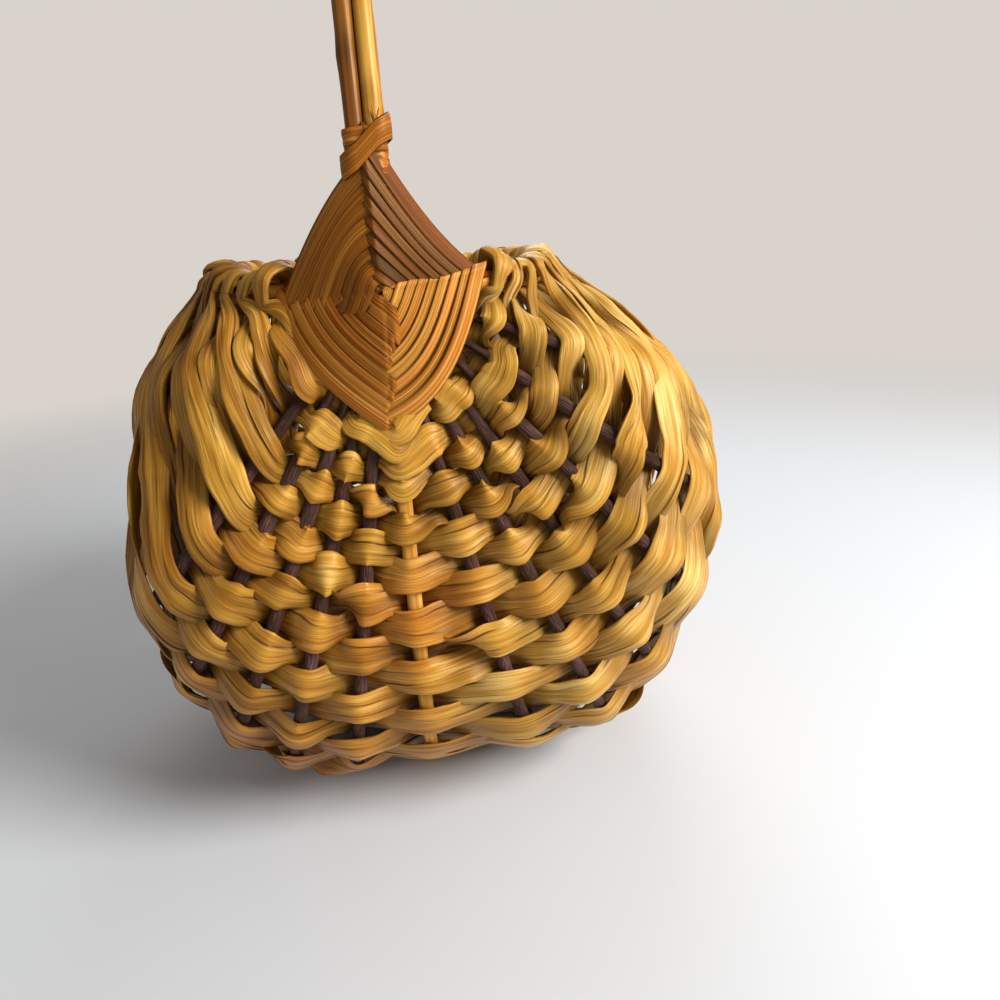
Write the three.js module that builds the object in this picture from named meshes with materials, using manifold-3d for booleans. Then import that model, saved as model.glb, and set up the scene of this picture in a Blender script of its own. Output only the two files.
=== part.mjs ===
// Melon-shaped leaf basket: two hoops lashed into a cross by a woven God's eye at each end,
// bark ribs sprung from eye to eye, and leaf strips woven over and under them from rim to rim.
// Millimetres, +Z up, X across the two lobes, -Y the end that faces the viewer.
import * as THREE from 'three';
import { mergeVertices } from 'three/addons/utils/BufferGeometryUtils.js';
import Module from 'manifold-3d';

const wasm = await Module();
wasm.setup();

// Body, on the centre lines of its frame
const RIM_HALF_LENGTH = 80;
const RIM_HALF_WIDTH = 57;
const RIGHT_LOBE_HALF_WIDTH = 113;
const LEFT_LOBE_HALF_WIDTH = 96;
const WIDEST_DEPTH = 91;
const LOBE_DEPTH = 199;
const SETTLE_DEPTH = 19;
const REST_SETTLE = 1.6;
const KEEL_LIFT = 15;
const END_BULGE = 26;
const HANDLE_HEIGHT = 135;

// How square the curves are: 2 is an ellipse, more is squarer
const SECTION_EXPONENT = 2.25;
const RIM_EXPONENT = 2.3;
const HANDLE_EXPONENT = 2.2;

// Angles of the ribs about the body's long axis, in degrees from the keel
const RIGHT_RIB_ANGLES = [19, 38, 56, 76, 94, 119];
const LEFT_RIB_ANGLES = [16, 33, 49, 66, 84, 121];
const KEEL_DIP_ANGLE = 26;
const BULGE_START_ANGLE = 80;

// Frame rods
const RIM_RADIUS = 2.6;
const HANDLE_RADIUS = 2.25;
const SECOND_ROD_RADIUS = 2.1;
const PAIR_BLEND_HEIGHT = 9;
const SECOND_ROD_START_HEIGHT = 16;
const RIB_RADIUS = 2;
const RIB_TIP_RADIUS = 1.1;
const RIB_TAPER_LENGTH = 45;
const RIB_TUCK_SHARE = 0.86;
const KEEL_BLEND_LENGTH = 25;

// God's eyes
const EYE_HEIGHT_ABOVE = 42;
const EYE_HEIGHT_BELOW = 34;
const EYE_HALF_WIDTH = 27;
const EYE_ROUNDS = 8;
const EYE_SPLINT_THICKNESS = 1;
const EYE_STEP_THICKNESS = 0.45;
const EYE_HUB_HALF_WIDTH = 2.4;
const EYE_HUB_BLEND_LENGTH = 14;
const EYE_ARM_SHOULDER_WIDTH = 1.3;

// Leaf strips
const STRIP_COUNT = 23;
const STRIP_THICKNESS = 1.1;
const STRIP_WIDTH_SHARE = 0.82;
const RIM_STRIP_WIDTH_SHARE = 0.56;
const FIRST_PITCH_SHARE = 0.64;
const SEAT_SHARE = 0.9;
const RIM_WRAP_WIDTH_SHARE = 1.6;
const RIB_DIP_LENGTH = 26;

// Clearances
const FIT_GAP = 0.3;
const RIM_WRAP_GAP = 0.5;
const OUTER_SEAT_GAP = 0.4;
const INNER_SEAT_GAP = 0.65;
const EYE_TO_ROW_GAP = 1;
const RIB_TUCK_GAP = 0.7;
const BASE_FLAT = 0.75;
const CUT_OVERRUN = 10;

// Facets
const ROD_SIDES = 8;
const RIB_SIDES = 5;
const RIM_STEPS = 44;
const KEEL_STEPS = 30;
const ARCH_STEPS = 24;
const RIB_STEPS = 17;
const SLEEVE_STEPS = 6;
const LINE_POINTS = 33;
const WRAP_ANGLES = [-32, 28, 90, 152, 212];
const TAIL_ANGLES = [30, 90, 150];

const FINISHES = {
  leaf: { color: 0xc9a24e, roughness: 0.6 },
  bark: { color: 0x4a2e2a, roughness: 0.85 },
  splint: { color: 0xb5752a, roughness: 0.55 },
  goldenRod: { color: 0xb98a3a, roughness: 0.6 },
  darkRod: { color: 0x6b4517, roughness: 0.65 },
};

// Vector and number helpers

const { sin, cos, abs, sign, exp, min, max, hypot, PI } = Math;
const radians = THREE.MathUtils.degToRad;
const mix = THREE.MathUtils.lerp;
const smooth = (value) => THREE.MathUtils.smoothstep(value, 0, 1);
const along = (point, direction, distance) => point.clone().addScaledVector(direction, distance);

/** Solid through rings of points: every ring has as many points as the last. */
function loft(rings, closedLoop = false) {
  const sides = rings[0].length;
  const positions = rings.flat().flatMap((point) => [point.x, point.y, point.z]);
  const index = [];
  const joints = closedLoop ? rings.length : rings.length - 1;
  for (let ring = 0; ring < joints; ring += 1) {
    const next = (ring + 1) % rings.length;
    for (let side = 0; side < sides; side += 1) {
      const after = (side + 1) % sides;
      const [a, b] = [ring * sides + side, ring * sides + after];
      const [c, d] = [next * sides + after, next * sides + side];
      index.push(a, b, c, a, c, d);
    }
  }
  if (!closedLoop) {
    const last = (rings.length - 1) * sides;
    for (let side = 1; side < sides - 1; side += 1) {
      index.push(0, side + 1, side);
      index.push(last, last + side, last + side + 1);
    }
  }
  const geometry = new THREE.BufferGeometry();
  geometry.setAttribute('position', new THREE.Float32BufferAttribute(positions, 3));
  geometry.setIndex(index);
  return facingOut(geometry);
}

/** Signed volume of a closed indexed geometry, negative when its faces point in. */
function signedVolume(geometry) {
  const corners = geometry.attributes.position;
  const index = geometry.index.array;
  const [a, b, c] = [new THREE.Vector3(), new THREE.Vector3(), new THREE.Vector3()];
  let total = 0;
  for (let face = 0; face < index.length; face += 3) {
    a.fromBufferAttribute(corners, index[face]);
    b.fromBufferAttribute(corners, index[face + 1]);
    c.fromBufferAttribute(corners, index[face + 2]);
    total += a.dot(b.cross(c));
  }
  return total / 6;
}

/** The geometry with its triangles turned so that they all point out. */
function facingOut(geometry) {
  if (signedVolume(geometry) < 0) {
    const index = Array.from(geometry.index.array);
    for (let face = 0; face < index.length; face += 3) {
      [index[face + 1], index[face + 2]] = [index[face + 2], index[face + 1]];
    }
    geometry.setIndex(index);
  }
  return geometry;
}

/** The geometry with its shared corners merged. */
function indexed(geometry) {
  const bare = geometry.clone();
  bare.deleteAttribute('normal');
  bare.deleteAttribute('uv');
  return mergeVertices(bare);
}

function toManifold(geometry) {
  const merged = indexed(geometry);
  return new wasm.Manifold(new wasm.Mesh({
    numProp: 3,
    vertProperties: new Float32Array(merged.attributes.position.array),
    triVerts: new Uint32Array(merged.index.array),
  }));
}

function fromManifold(solid) {
  const mesh = solid.getMesh();
  const geometry = new THREE.BufferGeometry();
  geometry.setAttribute('position', new THREE.BufferAttribute(mesh.vertProperties, 3));
  geometry.setIndex(new THREE.BufferAttribute(mesh.triVerts, 1));
  return geometry;
}

/** Rod through centre points. radiusAt gives [across, outward] half sizes for a share of its run. */
function rod(centres, radiusAt, sides, closedLoop = false, acrossHint = null) {
  const count = centres.length;
  const rings = centres.map((centre, place) => {
    const before = closedLoop ? centres[(place + count - 1) % count] : centres[max(place - 1, 0)];
    const after = closedLoop ? centres[(place + 1) % count] : centres[min(place + 1, count - 1)];
    const tangent = after.clone().sub(before).normalize();
    const hint = acrossHint ?? new THREE.Vector3(1, 0, 0);
    const outward = new THREE.Vector3().crossVectors(tangent, hint).normalize();
    const across = new THREE.Vector3().crossVectors(outward, tangent).normalize();
    const [acrossSize, outwardSize] = radiusAt(place / (count - 1));
    return Array.from({ length: sides }, (_, side) => {
      const turn = ((side + 0.5) / sides) * 2 * PI;
      return along(along(centre, across, acrossSize * cos(turn)), outward, outwardSize * sin(turn));
    });
  });
  return loft(rings, closedLoop);
}

// Shape of the body

/** Half width of the lobe on the side of an angle. */
const lobeHalfWidth = (angle) => (angle < 0 ? LEFT_LOBE_HALF_WIDTH : RIGHT_LOBE_HALF_WIDTH);

/** Height that the upper superellipse would reach, so that it passes through the rim. */
function upperReach(angle) {
  const rimShare = (RIM_HALF_WIDTH / lobeHalfWidth(angle)) ** SECTION_EXPONENT;
  return WIDEST_DEPTH / (1 - rimShare) ** (1 / SECTION_EXPONENT);
}

/** Angle at which the section meets the rim plane, on the side of the sign given. */
function rimAngle(side) {
  const heightShare = (WIDEST_DEPTH / upperReach(side)) ** (SECTION_EXPONENT / 2);
  return side * (PI - Math.acos(heightShare));
}

/** Point of the middle section, seen along Y, at an angle from the keel. */
function sectionPoint(angle) {
  const power = 2 / SECTION_EXPONENT;
  const x = lobeHalfWidth(angle) * sign(sin(angle)) * abs(sin(angle)) ** power;
  const upper = upperReach(angle) * abs(cos(angle)) ** power;
  const lower = (LOBE_DEPTH - WIDEST_DEPTH) * abs(cos(angle)) ** power;
  const lift = KEEL_LIFT * exp(-((angle / radians(KEEL_DIP_ANGLE)) ** 2));
  const z = (cos(angle) < 0 ? upper : -lower) - WIDEST_DEPTH + lift;
  return { x, z };
}

/** How much of the end bulge an angle has: none at the rim, all of it below the belly. */
function bulgeShare(angle) {
  const rim = abs(rimAngle(angle < 0 ? -1 : 1));
  return smooth((rim - abs(angle)) / (rim - radians(BULGE_START_ANGLE)));
}

/** Depth at which the weave stands, and its height there once its underside has settled flat. */
const REST_DEPTH = LOBE_DEPTH - SETTLE_DEPTH;
function settled(z) {
  const past = max(-z - REST_DEPTH, 0);
  return max(z, -REST_DEPTH) - REST_SETTLE * (1 - exp(-past / REST_SETTLE));
}

/** Spread of the body from its long axis, as a share of the middle section, at a turn of 0 to PI. */
const spreadShare = (turn) => sin(turn) ** (2 / RIM_EXPONENT);
const turnOfSpread = (spread) => Math.asin(spread ** (RIM_EXPONENT / 2));

/** Distance of the end from the middle at a turn, before dips. */
function endReach(turn, angle) {
  const straight = RIM_HALF_LENGTH * abs(cos(turn)) ** (2 / RIM_EXPONENT);
  return straight + END_BULGE * bulgeShare(angle) * sin(2 * turn) ** 2;
}

/** The handle hoop stands outside the rim hoop where they cross. */
const HOOP_STEP = RIM_RADIUS + HANDLE_RADIUS + FIT_GAP;
const keelStep = (depth) => HOOP_STEP * exp(-((depth / KEEL_BLEND_LENGTH) ** 2));

/** Distance of the handle hoop's centre from the middle, down the keel. */
function keelReach(turn) {
  const depth = sectionPoint(0).z * spreadShare(turn);
  return endReach(turn, 0) + keelStep(depth);
}

/** Share of the eye that a line at an angle crosses at its edge, as a spread. */
function eyeEdgeSpread(angle) {
  const { x, z } = sectionPoint(angle);
  return 1 / (abs(x) / EYE_HALF_WIDTH + abs(z) / EYE_HEIGHT_BELOW);
}

const rimCornerReach = endReach(turnOfSpread(EYE_HALF_WIDTH / RIM_HALF_WIDTH), rimAngle(1));
const keelCornerReach = keelReach(turnOfSpread(EYE_HEIGHT_BELOW / abs(sectionPoint(0).z)));

/** How far a rib dips in behind the eye's edge, so that its tip tucks behind the splints. */
function ribDip(angle) {
  const spread = eyeEdgeSpread(angle);
  const acrossShare = (abs(sectionPoint(angle).x) * spread) / EYE_HALF_WIDTH;
  const keelFront = keelCornerReach + HANDLE_RADIUS + FIT_GAP;
  const rimFront = rimCornerReach + RIM_RADIUS + FIT_GAP;
  const splintBack = mix(keelFront, rimFront, acrossShare);
  const wanted = splintBack - RIB_TUCK_GAP - RIB_TIP_RADIUS;
  return max(endReach(turnOfSpread(spread), angle) - wanted, 0);
}

/** Centre line of a rib at a turn: eye to eye, dipping in behind both eyes. */
function ribPoint(turn, angle) {
  const { x, z } = sectionPoint(angle);
  const spread = spreadShare(turn);
  const past = max((spread - eyeEdgeSpread(angle)) * hypot(x, z), 0);
  const dip = ribDip(angle) * exp(-((past / RIB_DIP_LENGTH) ** 2));
  const y = -sign(cos(turn)) * (endReach(turn, angle) - dip);
  return new THREE.Vector3(x * spread, y, settled(z * spread));
}

function keelPoint(turn) {
  const z = settled(sectionPoint(0).z * spreadShare(turn));
  return new THREE.Vector3(0, -sign(cos(turn)) * keelReach(turn), z);
}

function rimPoint(turn, side) {
  const reach = endReach(turn, rimAngle(side));
  return new THREE.Vector3(side * RIM_HALF_WIDTH * spreadShare(turn), -sign(cos(turn)) * reach, 0);
}

/** Half the spacing of the handle's two rods. */
const PAIR_OFFSET = (HANDLE_RADIUS + SECOND_ROD_RADIUS + FIT_GAP) / 2;

/** Centre line of the handle arch at a turn, at one of its two rods (side 1 or -1). */
function archPoint(turn, side) {
  const power = 2 / HANDLE_EXPONENT;
  const z = HANDLE_HEIGHT * sin(turn) ** power;
  const y = -sign(cos(turn)) * (RIM_HALF_LENGTH + HOOP_STEP) * abs(cos(turn)) ** power;
  const x = side * PAIR_OFFSET * smooth(z / PAIR_BLEND_HEIGHT);
  return new THREE.Vector3(x, y, z);
}

/** Evenly spaced turns strictly between two ends. */
function turnsBetween(start, end, steps) {
  return Array.from({ length: steps - 1 }, (_, step) => mix(start, end, (step + 1) / steps));
}

/** Points evenly spaced by length along a curve function of the turn. */
function evenPoints(pointAt, start, end, steps) {
  const turns = [start, ...turnsBetween(start, end, LINE_POINTS - 1), end];
  const curve = new THREE.CatmullRomCurve3(turns.map(pointAt), false, 'centripetal');
  return curve.getSpacedPoints(steps);
}

/** Length of a curve function between two turns. */
function runLength(pointAt, start, end) {
  const points = evenPoints(pointAt, start, end, LINE_POINTS);
  return points.slice(1).reduce((total, point, place) => total + point.distanceTo(points[place]), 0);
}

// Frame

const UPWARD = new THREE.Vector3(0, 0, 1);

const rimCentres = (side) => evenPoints((turn) => rimPoint(turn, side), 0, PI, RIM_STEPS / 2);
const keelCentres = () => evenPoints(keelPoint, 0, PI, KEEL_STEPS);
const ribTipTurn = (angle) => turnOfSpread(eyeEdgeSpread(angle) * RIB_TUCK_SHARE);

function ribCentres(angle) {
  const tip = ribTipTurn(angle);
  return evenPoints((turn) => ribPoint(turn, angle), tip, PI - tip, RIB_STEPS);
}

/** Radius of a rib at a distance from its nearer tip. */
function ribRadius(fromTip) {
  return mix(RIB_TIP_RADIUS, RIB_RADIUS, smooth(fromTip / RIB_TAPER_LENGTH));
}

function rimHoop(radius) {
  const ring = [...rimCentres(1).slice(0, -1), ...rimCentres(-1).reverse().slice(0, -1)];
  return rod(ring, () => [radius, radius], ROD_SIDES, true, UPWARD);
}

function handleHoop(radius) {
  const arch = evenPoints((turn) => archPoint(turn, 1), 0, PI, ARCH_STEPS);
  const ring = [...arch.slice(0, -1), ...keelCentres().reverse().slice(0, -1)];
  return rod(ring, () => [radius, radius], ROD_SIDES, true);
}

function secondRod(radius) {
  const start = Math.asin((SECOND_ROD_START_HEIGHT / HANDLE_HEIGHT) ** (HANDLE_EXPONENT / 2));
  const centres = evenPoints((turn) => archPoint(turn, -1), start, PI - start, ARCH_STEPS);
  return rod(centres, () => [radius, radius], ROD_SIDES);
}

function ribSolid(angle) {
  const centres = ribCentres(angle);
  const length = centres[0].distanceTo(centres[1]) * RIB_STEPS;
  const radiusAt = (share) => {
    const radius = ribRadius(min(share, 1 - share) * length);
    return [radius, radius];
  };
  return rod(centres, radiusAt, RIB_SIDES);
}

// God's eyes

/** Distance from the middle of the splints' inner face, above and below the crossing. */
function uprightFront(height) {
  const depthTurn = turnOfSpread(abs(min(height, 0)) / abs(sectionPoint(0).z));
  const archTurn = Math.asin((max(height, 0) / HANDLE_HEIGHT) ** (HANDLE_EXPONENT / 2));
  const reach = height < 0 ? keelReach(depthTurn) : abs(archPoint(archTurn, 1).y);
  return reach + HANDLE_RADIUS + FIT_GAP;
}

/** The same along the rim, where the splints step down from the handle hoop to the rim hoop. */
function sideFront(across) {
  const rimFront = endReach(turnOfSpread(across / RIM_HALF_WIDTH), rimAngle(1)) + RIM_RADIUS + FIT_GAP;
  return mix(uprightFront(0), rimFront, smooth(across / EYE_HUB_BLEND_LENGTH));
}

/** One round of splints: eight points, two on each arm, at a share of the eye's size. */
function eyeRing(share, lift) {
  const up = share * EYE_HEIGHT_ABOVE;
  const down = share * EYE_HEIGHT_BELOW;
  const across = share * EYE_HALF_WIDTH;
  const pairShoulder = min(PAIR_OFFSET + EYE_ARM_SHOULDER_WIDTH, across / 2);
  const shoulder = min(EYE_ARM_SHOULDER_WIDTH, across / 2);
  const at = (x, front, z) => new THREE.Vector3(x, -(front + lift), z);
  return [
    at(pairShoulder, uprightFront(up), up),
    at(across, sideFront(across), shoulder),
    at(across, sideFront(across), -shoulder),
    at(shoulder, uprightFront(-down), -down),
    at(-shoulder, uprightFront(-down), -down),
    at(-across, sideFront(across), -shoulder),
    at(-across, sideFront(across), shoulder),
    at(-pairShoulder, uprightFront(up), up),
  ];
}

/** The diamond of splints, each round stepped over the edge of the one inside it. */
function eyePlate() {
  const hubShare = EYE_HUB_HALF_WIDTH / EYE_HALF_WIDTH;
  const edges = Array.from({ length: EYE_ROUNDS + 1 }, (_, round) => mix(hubShare, 1, round / EYE_ROUNDS));
  const front = edges.slice(0, -1).flatMap((inner, round) => [
    eyeRing(inner, EYE_SPLINT_THICKNESS + EYE_STEP_THICKNESS),
    eyeRing(edges[round + 1], EYE_SPLINT_THICKNESS),
  ]);
  const back = [1, (1 + hubShare) / 2, hubShare].map((share) => eyeRing(share, 0));
  return loft([...front, ...back]);
}

/** Splints wound round the two side arms. */
function rimSleeve() {
  const edge = turnOfSpread(EYE_HALF_WIDTH / RIM_HALF_WIDTH);
  const right = evenPoints((turn) => rimPoint(turn, 1), 0, edge, SLEEVE_STEPS / 2);
  const left = evenPoints((turn) => rimPoint(turn, -1), edge, 0, SLEEVE_STEPS / 2);
  const size = RIM_RADIUS + FIT_GAP + EYE_SPLINT_THICKNESS;
  return rod([...left.slice(0, -1), ...right], () => [size, size], ROD_SIDES, false, UPWARD);
}

/** Splints wound round the upright arms: round on the keel, oval round the handle's two rods. */
function uprightSleeve() {
  const keelEdge = turnOfSpread(EYE_HEIGHT_BELOW / abs(sectionPoint(0).z));
  const archEdge = Math.asin((EYE_HEIGHT_ABOVE / HANDLE_HEIGHT) ** (HANDLE_EXPONENT / 2));
  const keel = evenPoints(keelPoint, keelEdge, 0, SLEEVE_STEPS / 2);
  const arch = evenPoints((turn) => archPoint(turn, 1).setX(0), 0, archEdge, SLEEVE_STEPS / 2);
  const size = HANDLE_RADIUS + FIT_GAP + EYE_SPLINT_THICKNESS;
  const centres = [...keel.slice(0, -1), ...arch];
  const radiusAt = (share) => {
    const { z } = centres[Math.round(share * (centres.length - 1))];
    return [size + PAIR_OFFSET * smooth(z / PAIR_BLEND_HEIGHT), size];
  };
  return rod(centres, radiusAt, ROD_SIDES);
}

/** The diamond outline of the eye, as a prism through the near end. */
function eyeOutline() {
  const outline = new THREE.Shape();
  outline.moveTo(EYE_HALF_WIDTH, 0);
  outline.lineTo(0, EYE_HEIGHT_ABOVE);
  outline.lineTo(-EYE_HALF_WIDTH, 0);
  outline.lineTo(0, -EYE_HEIGHT_BELOW);
  const prism = new THREE.ExtrudeGeometry(outline, { depth: 2 * RIM_HALF_LENGTH, bevelEnabled: false });
  return facingOut(indexed(prism.rotateX(PI / 2)));
}

/** The near eye: plate and sleeves joined, trimmed to the diamond and bored for the rods. */
function nearEye() {
  const sleeves = toManifold(rimSleeve()).add(toManifold(uprightSleeve()));
  const lashing = toManifold(eyePlate()).add(sleeves).intersect(toManifold(eyeOutline()));
  const bored = [
    rimHoop(RIM_RADIUS + FIT_GAP),
    handleHoop(HANDLE_RADIUS + FIT_GAP),
    secondRod(SECOND_ROD_RADIUS + FIT_GAP),
  ].reduce((solid, hoop) => solid.subtract(toManifold(hoop)), lashing);
  return fromManifold(bored);
}

/** The same geometry seen from behind: turned to the far end by mirroring Y. */
function mirrored(geometry) {
  return facingOut(geometry.clone().scale(1, -1, 1));
}

// Weave

/** A rod's centre line, as the chords between its points, with the stretch that is woven. */
class WeaveLine {
  constructor(centres, lashedLength, radiusAt) {
    this.path = new THREE.CurvePath();
    centres.slice(1).forEach((point, place) => this.path.add(new THREE.LineCurve3(centres[place], point)));
    this.length = this.path.getLength();
    this.margin = lashedLength + EYE_TO_ROW_GAP;
    this.wovenLength = this.length - 2 * this.margin;
    this.step = this.length / (centres.length - 1);
    this.radiusAt = radiusAt;
  }

  /** Distance from the line's start of a share of the woven stretch. */
  distance(share) {
    return this.margin + share * this.wovenLength;
  }

  pointAt(share) {
    return this.path.getPoint(this.distance(share) / this.length);
  }

  /** Direction of the rod, averaged over one chord. */
  directionAt(share) {
    const before = max((this.distance(share) - this.step / 2) / this.length, 0);
    const after = min((this.distance(share) + this.step / 2) / this.length, 1);
    return this.path.getPoint(after).sub(this.path.getPoint(before)).normalize();
  }

  radius(share) {
    const distance = this.distance(share);
    return this.radiusAt(min(distance, this.length - distance));
  }
}

function ribLine(angle) {
  const edge = turnOfSpread(eyeEdgeSpread(angle));
  const tucked = runLength((turn) => ribPoint(turn, angle), ribTipTurn(angle), edge);
  return new WeaveLine(ribCentres(angle), tucked, ribRadius);
}

function rimLine(side) {
  const corner = turnOfSpread(EYE_HALF_WIDTH / RIM_HALF_WIDTH);
  const lashed = runLength((turn) => rimPoint(turn, side), 0, corner);
  return new WeaveLine(rimCentres(side), lashed, () => RIM_RADIUS);
}

function keelLine() {
  const corner = turnOfSpread(EYE_HEIGHT_BELOW / abs(sectionPoint(0).z));
  return new WeaveLine(keelCentres(), runLength(keelPoint, 0, corner), () => HANDLE_RADIUS);
}

const LINES = [
  rimLine(-1),
  ...[...LEFT_RIB_ANGLES].reverse().map((angle) => ribLine(-radians(angle))),
  keelLine(),
  ...RIGHT_RIB_ANGLES.map((angle) => ribLine(radians(angle))),
  rimLine(1),
];
const LAST_LINE = LINES.length - 1;
const KEEL_LINE = LEFT_RIB_ANGLES.length + 1;
const ROW_COUNT = 2 * STRIP_COUNT;

/** Place of a row on a line, as a share of its length: rows crowd towards the eyes on the keel. */
function rowShare(row, line) {
  const even = (row + 0.5) / ROW_COUNT;
  const half = 2 * min(even, 1 - even);
  const crowded = (FIRST_PITCH_SHARE * half + (1 - FIRST_PITCH_SHARE) * half ** 2) / 2;
  const onKeel = even < 0.5 ? crowded : 1 - crowded;
  const sideways = abs(line - KEEL_LINE) / (line < KEEL_LINE ? KEEL_LINE : LAST_LINE - KEEL_LINE);
  return mix(onKeel, even, sideways);
}

/** Where a row crosses a line: centre of the rod, directions, seat sizes and the strip's width. */
function crossing(row, line) {
  const share = rowShare(row, line);
  const rodLine = LINES[line];
  const centre = rodLine.pointAt(share);
  const rowwise = rodLine.directionAt(share);
  const neighbours = [max(line - 1, 0), min(line + 1, LAST_LINE)];
  const [before, after] = neighbours.map((other) => LINES[other].pointAt(rowShare(row, other)));
  const travel = after.sub(before);
  travel.addScaledVector(rowwise, -travel.dot(rowwise)).normalize();
  const outward = new THREE.Vector3().crossVectors(rowwise, travel).normalize();
  const [lower, upper] = [max(row - 1, 0), min(row + 1, ROW_COUNT - 1)];
  const shareStep = (rowShare(upper, line) - rowShare(lower, line)) / (upper - lower);
  const atRim = line === 0 || line === LAST_LINE;
  const width = rodLine.wovenLength * shareStep * (atRim ? RIM_STRIP_WIDTH_SHARE : STRIP_WIDTH_SHARE);
  const outside = (row + line) % 2 === 0;
  return { centre, rowwise, travel, outward, outside, radius: rodLine.radius(share), width };
}

/** Cross-section of a folded leaf strip: a flat base and a low ridge. */
function stripSection(base, rowwise, ridge, width) {
  return [
    along(base, rowwise, -width / 2),
    along(base, rowwise, width / 2),
    along(base, ridge, STRIP_THICKNESS),
  ];
}

/** Two sections that seat the strip on one side of a rib, met in the order of travel. */
function ribSeat(row, line, ridgeSide, heading) {
  const { centre, rowwise, travel, outward, outside, radius, width } = crossing(row, line);
  const ridgeInward = outside === (ridgeSide < 0);
  const gap = outside ? OUTER_SEAT_GAP : INNER_SEAT_GAP;
  const height = radius + gap + (ridgeInward ? STRIP_THICKNESS : 0);
  const seat = along(centre, outward, outside ? height : -height);
  const ridge = outward.clone().multiplyScalar(ridgeSide);
  return [-1, 1].map((end) => {
    const base = along(seat, travel, end * heading * radius * SEAT_SHARE);
    return stripSection(base, rowwise, ridge, width);
  });
}

/** Sections round the rim, from one row's place there to the next one's, through the angles given. */
function rimWrap(fromRow, toRow, line, angles) {
  const [start, end] = [crossing(fromRow, line), crossing(toRow, line)];
  return angles.map((degrees, place) => {
    const share = place / (angles.length - 1);
    const pick = (name) => start[name].clone().lerp(end[name], share);
    const upward = pick('travel').multiplyScalar(line === 0 ? -1 : 1).normalize();
    const turn = radians(degrees);
    const ridge = pick('outward').multiplyScalar(cos(turn)).addScaledVector(upward, sin(turn)).normalize();
    const base = along(pick('centre'), ridge, RIM_RADIUS + RIM_WRAP_GAP);
    const swell = fromRow === toRow ? 1 : mix(1, RIM_WRAP_WIDTH_SHARE, sin(turn));
    const width = mix(start.width, end.width, share) * swell;
    return stripSection(base, pick('rowwise').normalize(), ridge, width);
  });
}

/** One strip: out across a row, round the rim, and back across the next, its ends hooked over the rim. */
function leafStrip(strip) {
  const [out, back] = [2 * strip, 2 * strip + 1];
  const inner = Array.from({ length: LAST_LINE - 1 }, (_, place) => place + 1);
  const tailFromInside = [...TAIL_ANGLES].reverse();
  return loft([
    ...rimWrap(out, out, 0, [...tailFromInside, WRAP_ANGLES[0]]),
    ...inner.flatMap((line) => ribSeat(out, line, 1, 1)),
    ...rimWrap(out, back, LAST_LINE, WRAP_ANGLES),
    ...[...inner].reverse().flatMap((line) => ribSeat(back, line, -1, -1)),
    ...rimWrap(back, back, 0, [WRAP_ANGLES.at(-1), ...tailFromInside]),
  ]);
}

/** The strip with whatever hangs below the base plane cut off, so that the basket rests flat. */
function cutFlat(geometry, baseHeight) {
  geometry.computeBoundingBox();
  const box = geometry.boundingBox;
  if (box.min.z >= baseHeight) {
    return geometry;
  }
  const size = box.getSize(new THREE.Vector3()).addScalar(CUT_OVERRUN);
  const block = new THREE.BoxGeometry(size.x, size.y, size.z);
  const middle = box.getCenter(new THREE.Vector3());
  block.translate(middle.x, middle.y, baseHeight - size.z / 2);
  return fromManifold(toManifold(geometry).subtract(toManifold(block)));
}

// Assembly

const body = new THREE.Group();

function addPiece(name, geometry, finish) {
  const mesh = new THREE.Mesh(geometry, new THREE.MeshStandardMaterial({ ...finish, metalness: 0 }));
  mesh.name = name;
  body.add(mesh);
}

addPiece('rim_hoop', rimHoop(RIM_RADIUS), FINISHES.goldenRod);
addPiece('handle_hoop', handleHoop(HANDLE_RADIUS), FINISHES.goldenRod);
addPiece('handle_second_rod', secondRod(SECOND_ROD_RADIUS), FINISHES.darkRod);

const eye = nearEye();
addPiece('gods_eye_near', eye, FINISHES.splint);
addPiece('gods_eye_far', mirrored(eye), FINISHES.splint);

RIGHT_RIB_ANGLES.forEach((angle, place) => {
  addPiece(`rib_right_${place + 1}`, ribSolid(radians(angle)), FINISHES.bark);
});
LEFT_RIB_ANGLES.forEach((angle, place) => {
  addPiece(`rib_left_${place + 1}`, ribSolid(-radians(angle)), FINISHES.bark);
});

const strips = Array.from({ length: STRIP_COUNT }, (_, strip) => leafStrip(strip));
const lowest = min(...strips.map((geometry) => {
  geometry.computeBoundingBox();
  return geometry.boundingBox.min.z;
}));
strips.forEach((geometry, strip) => {
  const name = `leaf_strip_${String(strip + 1).padStart(2, '0')}`;
  addPiece(name, cutFlat(geometry, lowest + BASE_FLAT), FINISHES.leaf);
});

// The origin is the middle of the base
const bounds = new THREE.Box3().setFromObject(body);
const centre = bounds.getCenter(new THREE.Vector3());
body.position.set(-centre.x, -centre.y, -bounds.min.z);

const basket = new THREE.Group();
basket.add(body);

export default basket;
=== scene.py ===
"""Looks of a melon-shaped leaf basket with a handle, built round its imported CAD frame.

Shapes are worked out in millimetres in the basket's own frame: the origin is the middle of the rim
plane, X runs across the two lobes, -Y points to the end that faces the viewer and +Z is up. They are
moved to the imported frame, in metres, when they become meshes.
"""

import logging
import math
from dataclasses import dataclass, field, fields
from enum import Enum

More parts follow.
